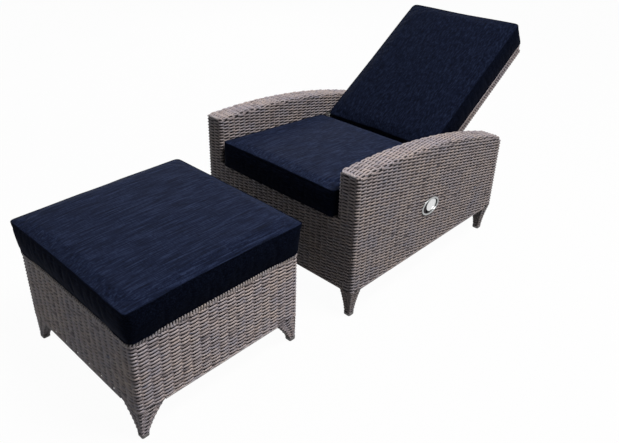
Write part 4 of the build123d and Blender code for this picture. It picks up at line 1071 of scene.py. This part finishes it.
def cushion(name, body, node, axes, shape, top_cloth):
    """Boxed cushion with a seam round its top and bottom; axes holds its origin and three directions. Its
    sides and seams take the side cloth, darker as painted shade.
    """
    points, faces = cube_grid([int(value / START_GRID) for value in shape["size"]])
    thing = mesh_object(name, boxed(points, **shape).tolist(), faces.tolist())
    modifier = thing.modifiers.new("remesh", "REMESH")
    modifier.mode = "VOXEL"
    modifier.voxel_size = VOXEL
    settle(thing)
    rings = [boxed(seam_ring(height), **shape) for height in (1.0, -1.0)]
    swell_up(thing, np.concatenate(rings))
    mesh = thing.data
    mesh.update()
    origin, side, along, upward = (np.asarray(v, float) for v in axes)

    def placed(local):
        return origin + side * local[:, :1] + along * local[:, 1:2] + upward * local[:, 2:3]

    seams = Mesh()
    for ring in rings:
        path = []
        for point in ring:
            _, place, normal, _ = thing.closest_point_on_mesh(Vector(point))
            path.append(place + normal * SEAM_OUT)
        path = np.array(path)
        for _ in range(SEAM_SMOOTHING):
            path = (np.roll(path, 1, 0) + 2 * path + np.roll(path, -1, 0)) / 4
        rope(seams, placed(path), SEAM, SEAM_PITCH, SEAM_GROOVE, SEAM_SIDES)
    # Steep faces take the side cloth, darker as painted shade; the rest takes the top cloth
    normals = np.empty(len(mesh.polygons) * 3)
    mesh.polygons.foreach_get("normal", normals)
    painted_shade_flank = np.abs(normals.reshape(-1, 3)[:, 2]) < FLANK_RISE
    mesh.materials.clear()
    mesh.materials.append(top_cloth)
    mesh.materials.append(SIDE_CLOTH_PAINTED_SHADE)
    mesh.polygons.foreach_set("material_index", painted_shade_flank.astype(np.int32))
    mesh.polygons.foreach_set("use_smooth", np.ones(len(painted_shade_flank), bool))
    mesh.vertices.foreach_set("co", placed(coordinates(mesh)).ravel())
    mesh.update()
    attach(thing, body)
    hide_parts(node)
    seams.piece(name + "_seams", SIDE_CLOTH_PAINTED_SHADE, body, slot="cushion_fabric")


# Shape of the cushions before they swell
START_GRID = 0.008
VOXEL = 0.006
PULL = 0.003
DROP = 0.004
UNEVEN = 0.0009
SIDE_POWER = 3
CROWN_POWER = 0.6
FALL_POWER = 0.4
TOP_SHARE = 0.99
# Faces whose normal rises less than this take the side cloth's painted shade
FLANK_RISE = 0.62

# Cloth that swells, and the seams that hold it
CLOTH_FRAMES = 20
CLOTH = {
    "quality": 5, "mass": 0.2, "tension_stiffness": 12, "compression_stiffness": 12, "shear_stiffness": 4,
    "bending_stiffness": 0.25, "shrink_min": -0.012, "use_pressure": True, "uniform_pressure_force": 4.0,
}
CAP = 0.009
SEAM_HOLD = 0.004
SEAM_SAMPLES = 160
SEAM_SMOOTHING = 3
SEAM_OUT = 0.0004
SEAM = 0.0016
SEAM_PITCH = 0.004
SEAM_GROOVE = 0.12
SEAM_SIDES = 8

# Sizes and places of the three cushions
GAP = 0.0004
SEAT_PAD = {"size": (0.552, 0.550, 0.0945), "crown": 0.008, "corner": 0.020, "taper": 0.002}
BACK_PAD = {"size": (0.514, 0.666, 0.0945), "crown": 0.010, "corner": 0.020, "taper": 0.002}
STOOL_PAD = {"size": (0.631, 0.631, 0.1075), "crown": 0.013, "corner": 0.014, "taper": 0.009}
SEAT_TILT = radians(4.2)
SEAT_OVERHANG = 0.0138
SEAT_MIDDLE = 0.276
BACK_LOW = -0.0108
BACK_MIDDLE = 0.3335
# The back and side cloths are darker copies of the seat cloth, at depth 0.6 and 0.3: painted shade on the
# back cushion and on the cushions' sides and seams
FLAT_CLOTH = cloth("seat_cloth", 1)
BACK_CLOTH_PAINTED_SHADE = cloth("back_cloth_painted_shade", 1, lean=RISE, depth=0.6, slub=45.0)
SIDE_CLOTH_PAINTED_SHADE = cloth("side_cloth_painted_shade", 0, depth=0.3, slub=40.0)
seat_axes = (
    (0, FRONT - SEAT_OVERHANG + SEAT_MIDDLE, SEAT_TOP + GAP - SEAT_MIDDLE * sin(SEAT_TILT)), ACROSS,
    (0, cos(SEAT_TILT), -sin(SEAT_TILT)), (0, sin(SEAT_TILT), cos(SEAT_TILT)),
)
back_axes = on_back(0, BACK_LOW + BACK_MIDDLE, PANEL_FRONT + GAP), ACROSS, UP, TOWARDS
stool_axes = (0, STOOL_MIDDLE, STOOL_TOP + GAP), ACROSS, (0, 1, 0), (0, 0, 1)
cushion("seat_pad", "chair", "seat_cushion", seat_axes, SEAT_PAD, FLAT_CLOTH)
cushion("back_pad", "backrest", "back_cushion", back_axes, BACK_PAD, BACK_CLOTH_PAINTED_SHADE)
cushion("stool_pad", "footstool", "stool_cushion", stool_axes, STOOL_PAD, FLAT_CLOTH)

# Floor, world, lights and camera
FLOOR_REACH = 12.0
FLOOR_TONE = 0.15
FLOOR_ROUGHNESS = 0.9
FLOOR_GLOW = 1.10
FLOOR_GLOW_SHARE = 0.88
AMBIENT = 0.08
floor_corners = box_corners((-FLOOR_REACH, -FLOOR_REACH), (FLOOR_REACH, FLOOR_REACH))
floor = mesh_object("floor", raised(floor_corners, 0).tolist(), [(0, 1, 2, 3)])


def seen(node, link):
    """Value of 1 for camera, mirror and glass rays, else 0."""
    path = node("ShaderNodeLightPath")
    value = path.outputs["Is Camera Ray"]
    for ray in ("Is Glossy Ray", "Is Transmission Ray"):
        larger = node("ShaderNodeMath", operation="MAXIMUM")
        link(value, larger.inputs[0])
        link(path.outputs[ray], larger.inputs[1])
        value = larger.outputs["Value"]
    return value


floor_material, floor_shader, node, link = new_material("floor_white")
floor_shader.inputs["Base Color"].default_value = (FLOOR_TONE, FLOOR_TONE, FLOOR_TONE, 1)
floor_shader.inputs["Roughness"].default_value = FLOOR_ROUGHNESS
glow = node("ShaderNodeEmission", Strength=FLOOR_GLOW)
share = node("ShaderNodeMath", operation="MULTIPLY")
share.inputs[1].default_value = FLOOR_GLOW_SHARE
link(seen(node, link), share.inputs[0])
blend = node("ShaderNodeMixShader")
link(share.outputs["Value"], blend.inputs[0])
link(floor_shader.outputs["BSDF"], blend.inputs[1])
link(glow.outputs["Emission"], blend.inputs[2])
link(blend.outputs["Shader"], floor_material.node_tree.nodes["Material Output"].inputs["Surface"])
floor.data.materials.append(floor_material)

world = bpy.data.worlds.new("studio")
bpy.context.scene.world = world
world.use_nodes = True
node, link = nodes_of(world.node_tree)
surround = world.node_tree.nodes["Background"]
surround.inputs["Color"].default_value = (1, 1, 1, 1)
level = node("ShaderNodeMix", data_type="FLOAT", A=AMBIENT, B=1.0)
link(seen(node, link), level.inputs["Factor"])
link(level.outputs["Result"], surround.inputs["Strength"])


def lamp(name, place, target, size, power, colour):
    """Area lamp that faces a target."""
    light = bpy.data.lights.new(name, "AREA")
    light.shape = "DISK"
    light.size = size
    light.energy = power
    light.color = colour
    thing = new_object(name, light)
    thing.location = place
    thing.rotation_euler = (Vector(target) - Vector(place)).to_track_quat("-Z", "Y").to_euler()


lamp("key", (1.65, 0.2, 3.9), target=(0, 0, 0.3), size=1.5, power=170, colour=(1.0, 0.972, 0.965))
lamp("fill", (-1.2, -3.4, 2.2), target=(0, -0.2, 0.3), size=1.2, power=2.5, colour=(0.70, 0.82, 1.0))
lamp("rear", (-3.0, 2.6, 1.8), target=(0, 0.1, 0.3), size=1.5, power=30, colour=(0.96, 0.97, 1.0))

# The photograph's viewing angle
CAMERA_PLACE = (1.4637, -1.5915, 1.459)
CAMERA_DIP = 28.84
CAMERA_TURN = 45.94
camera_data = bpy.data.cameras.new("camera")
camera_data.sensor_fit = "HORIZONTAL"
camera_data.sensor_width = 36.0
camera_data.lens = 38.04
camera_data.shift_x = 0.0549
camera_data.shift_y = -0.0377
camera = new_object("camera", camera_data)
camera.location = CAMERA_PLACE
camera.rotation_euler = (radians(90 - CAMERA_DIP), 0, radians(CAMERA_TURN))
bpy.context.scene.camera = camera
bpy.context.scene.view_settings.view_transform = "Standard"
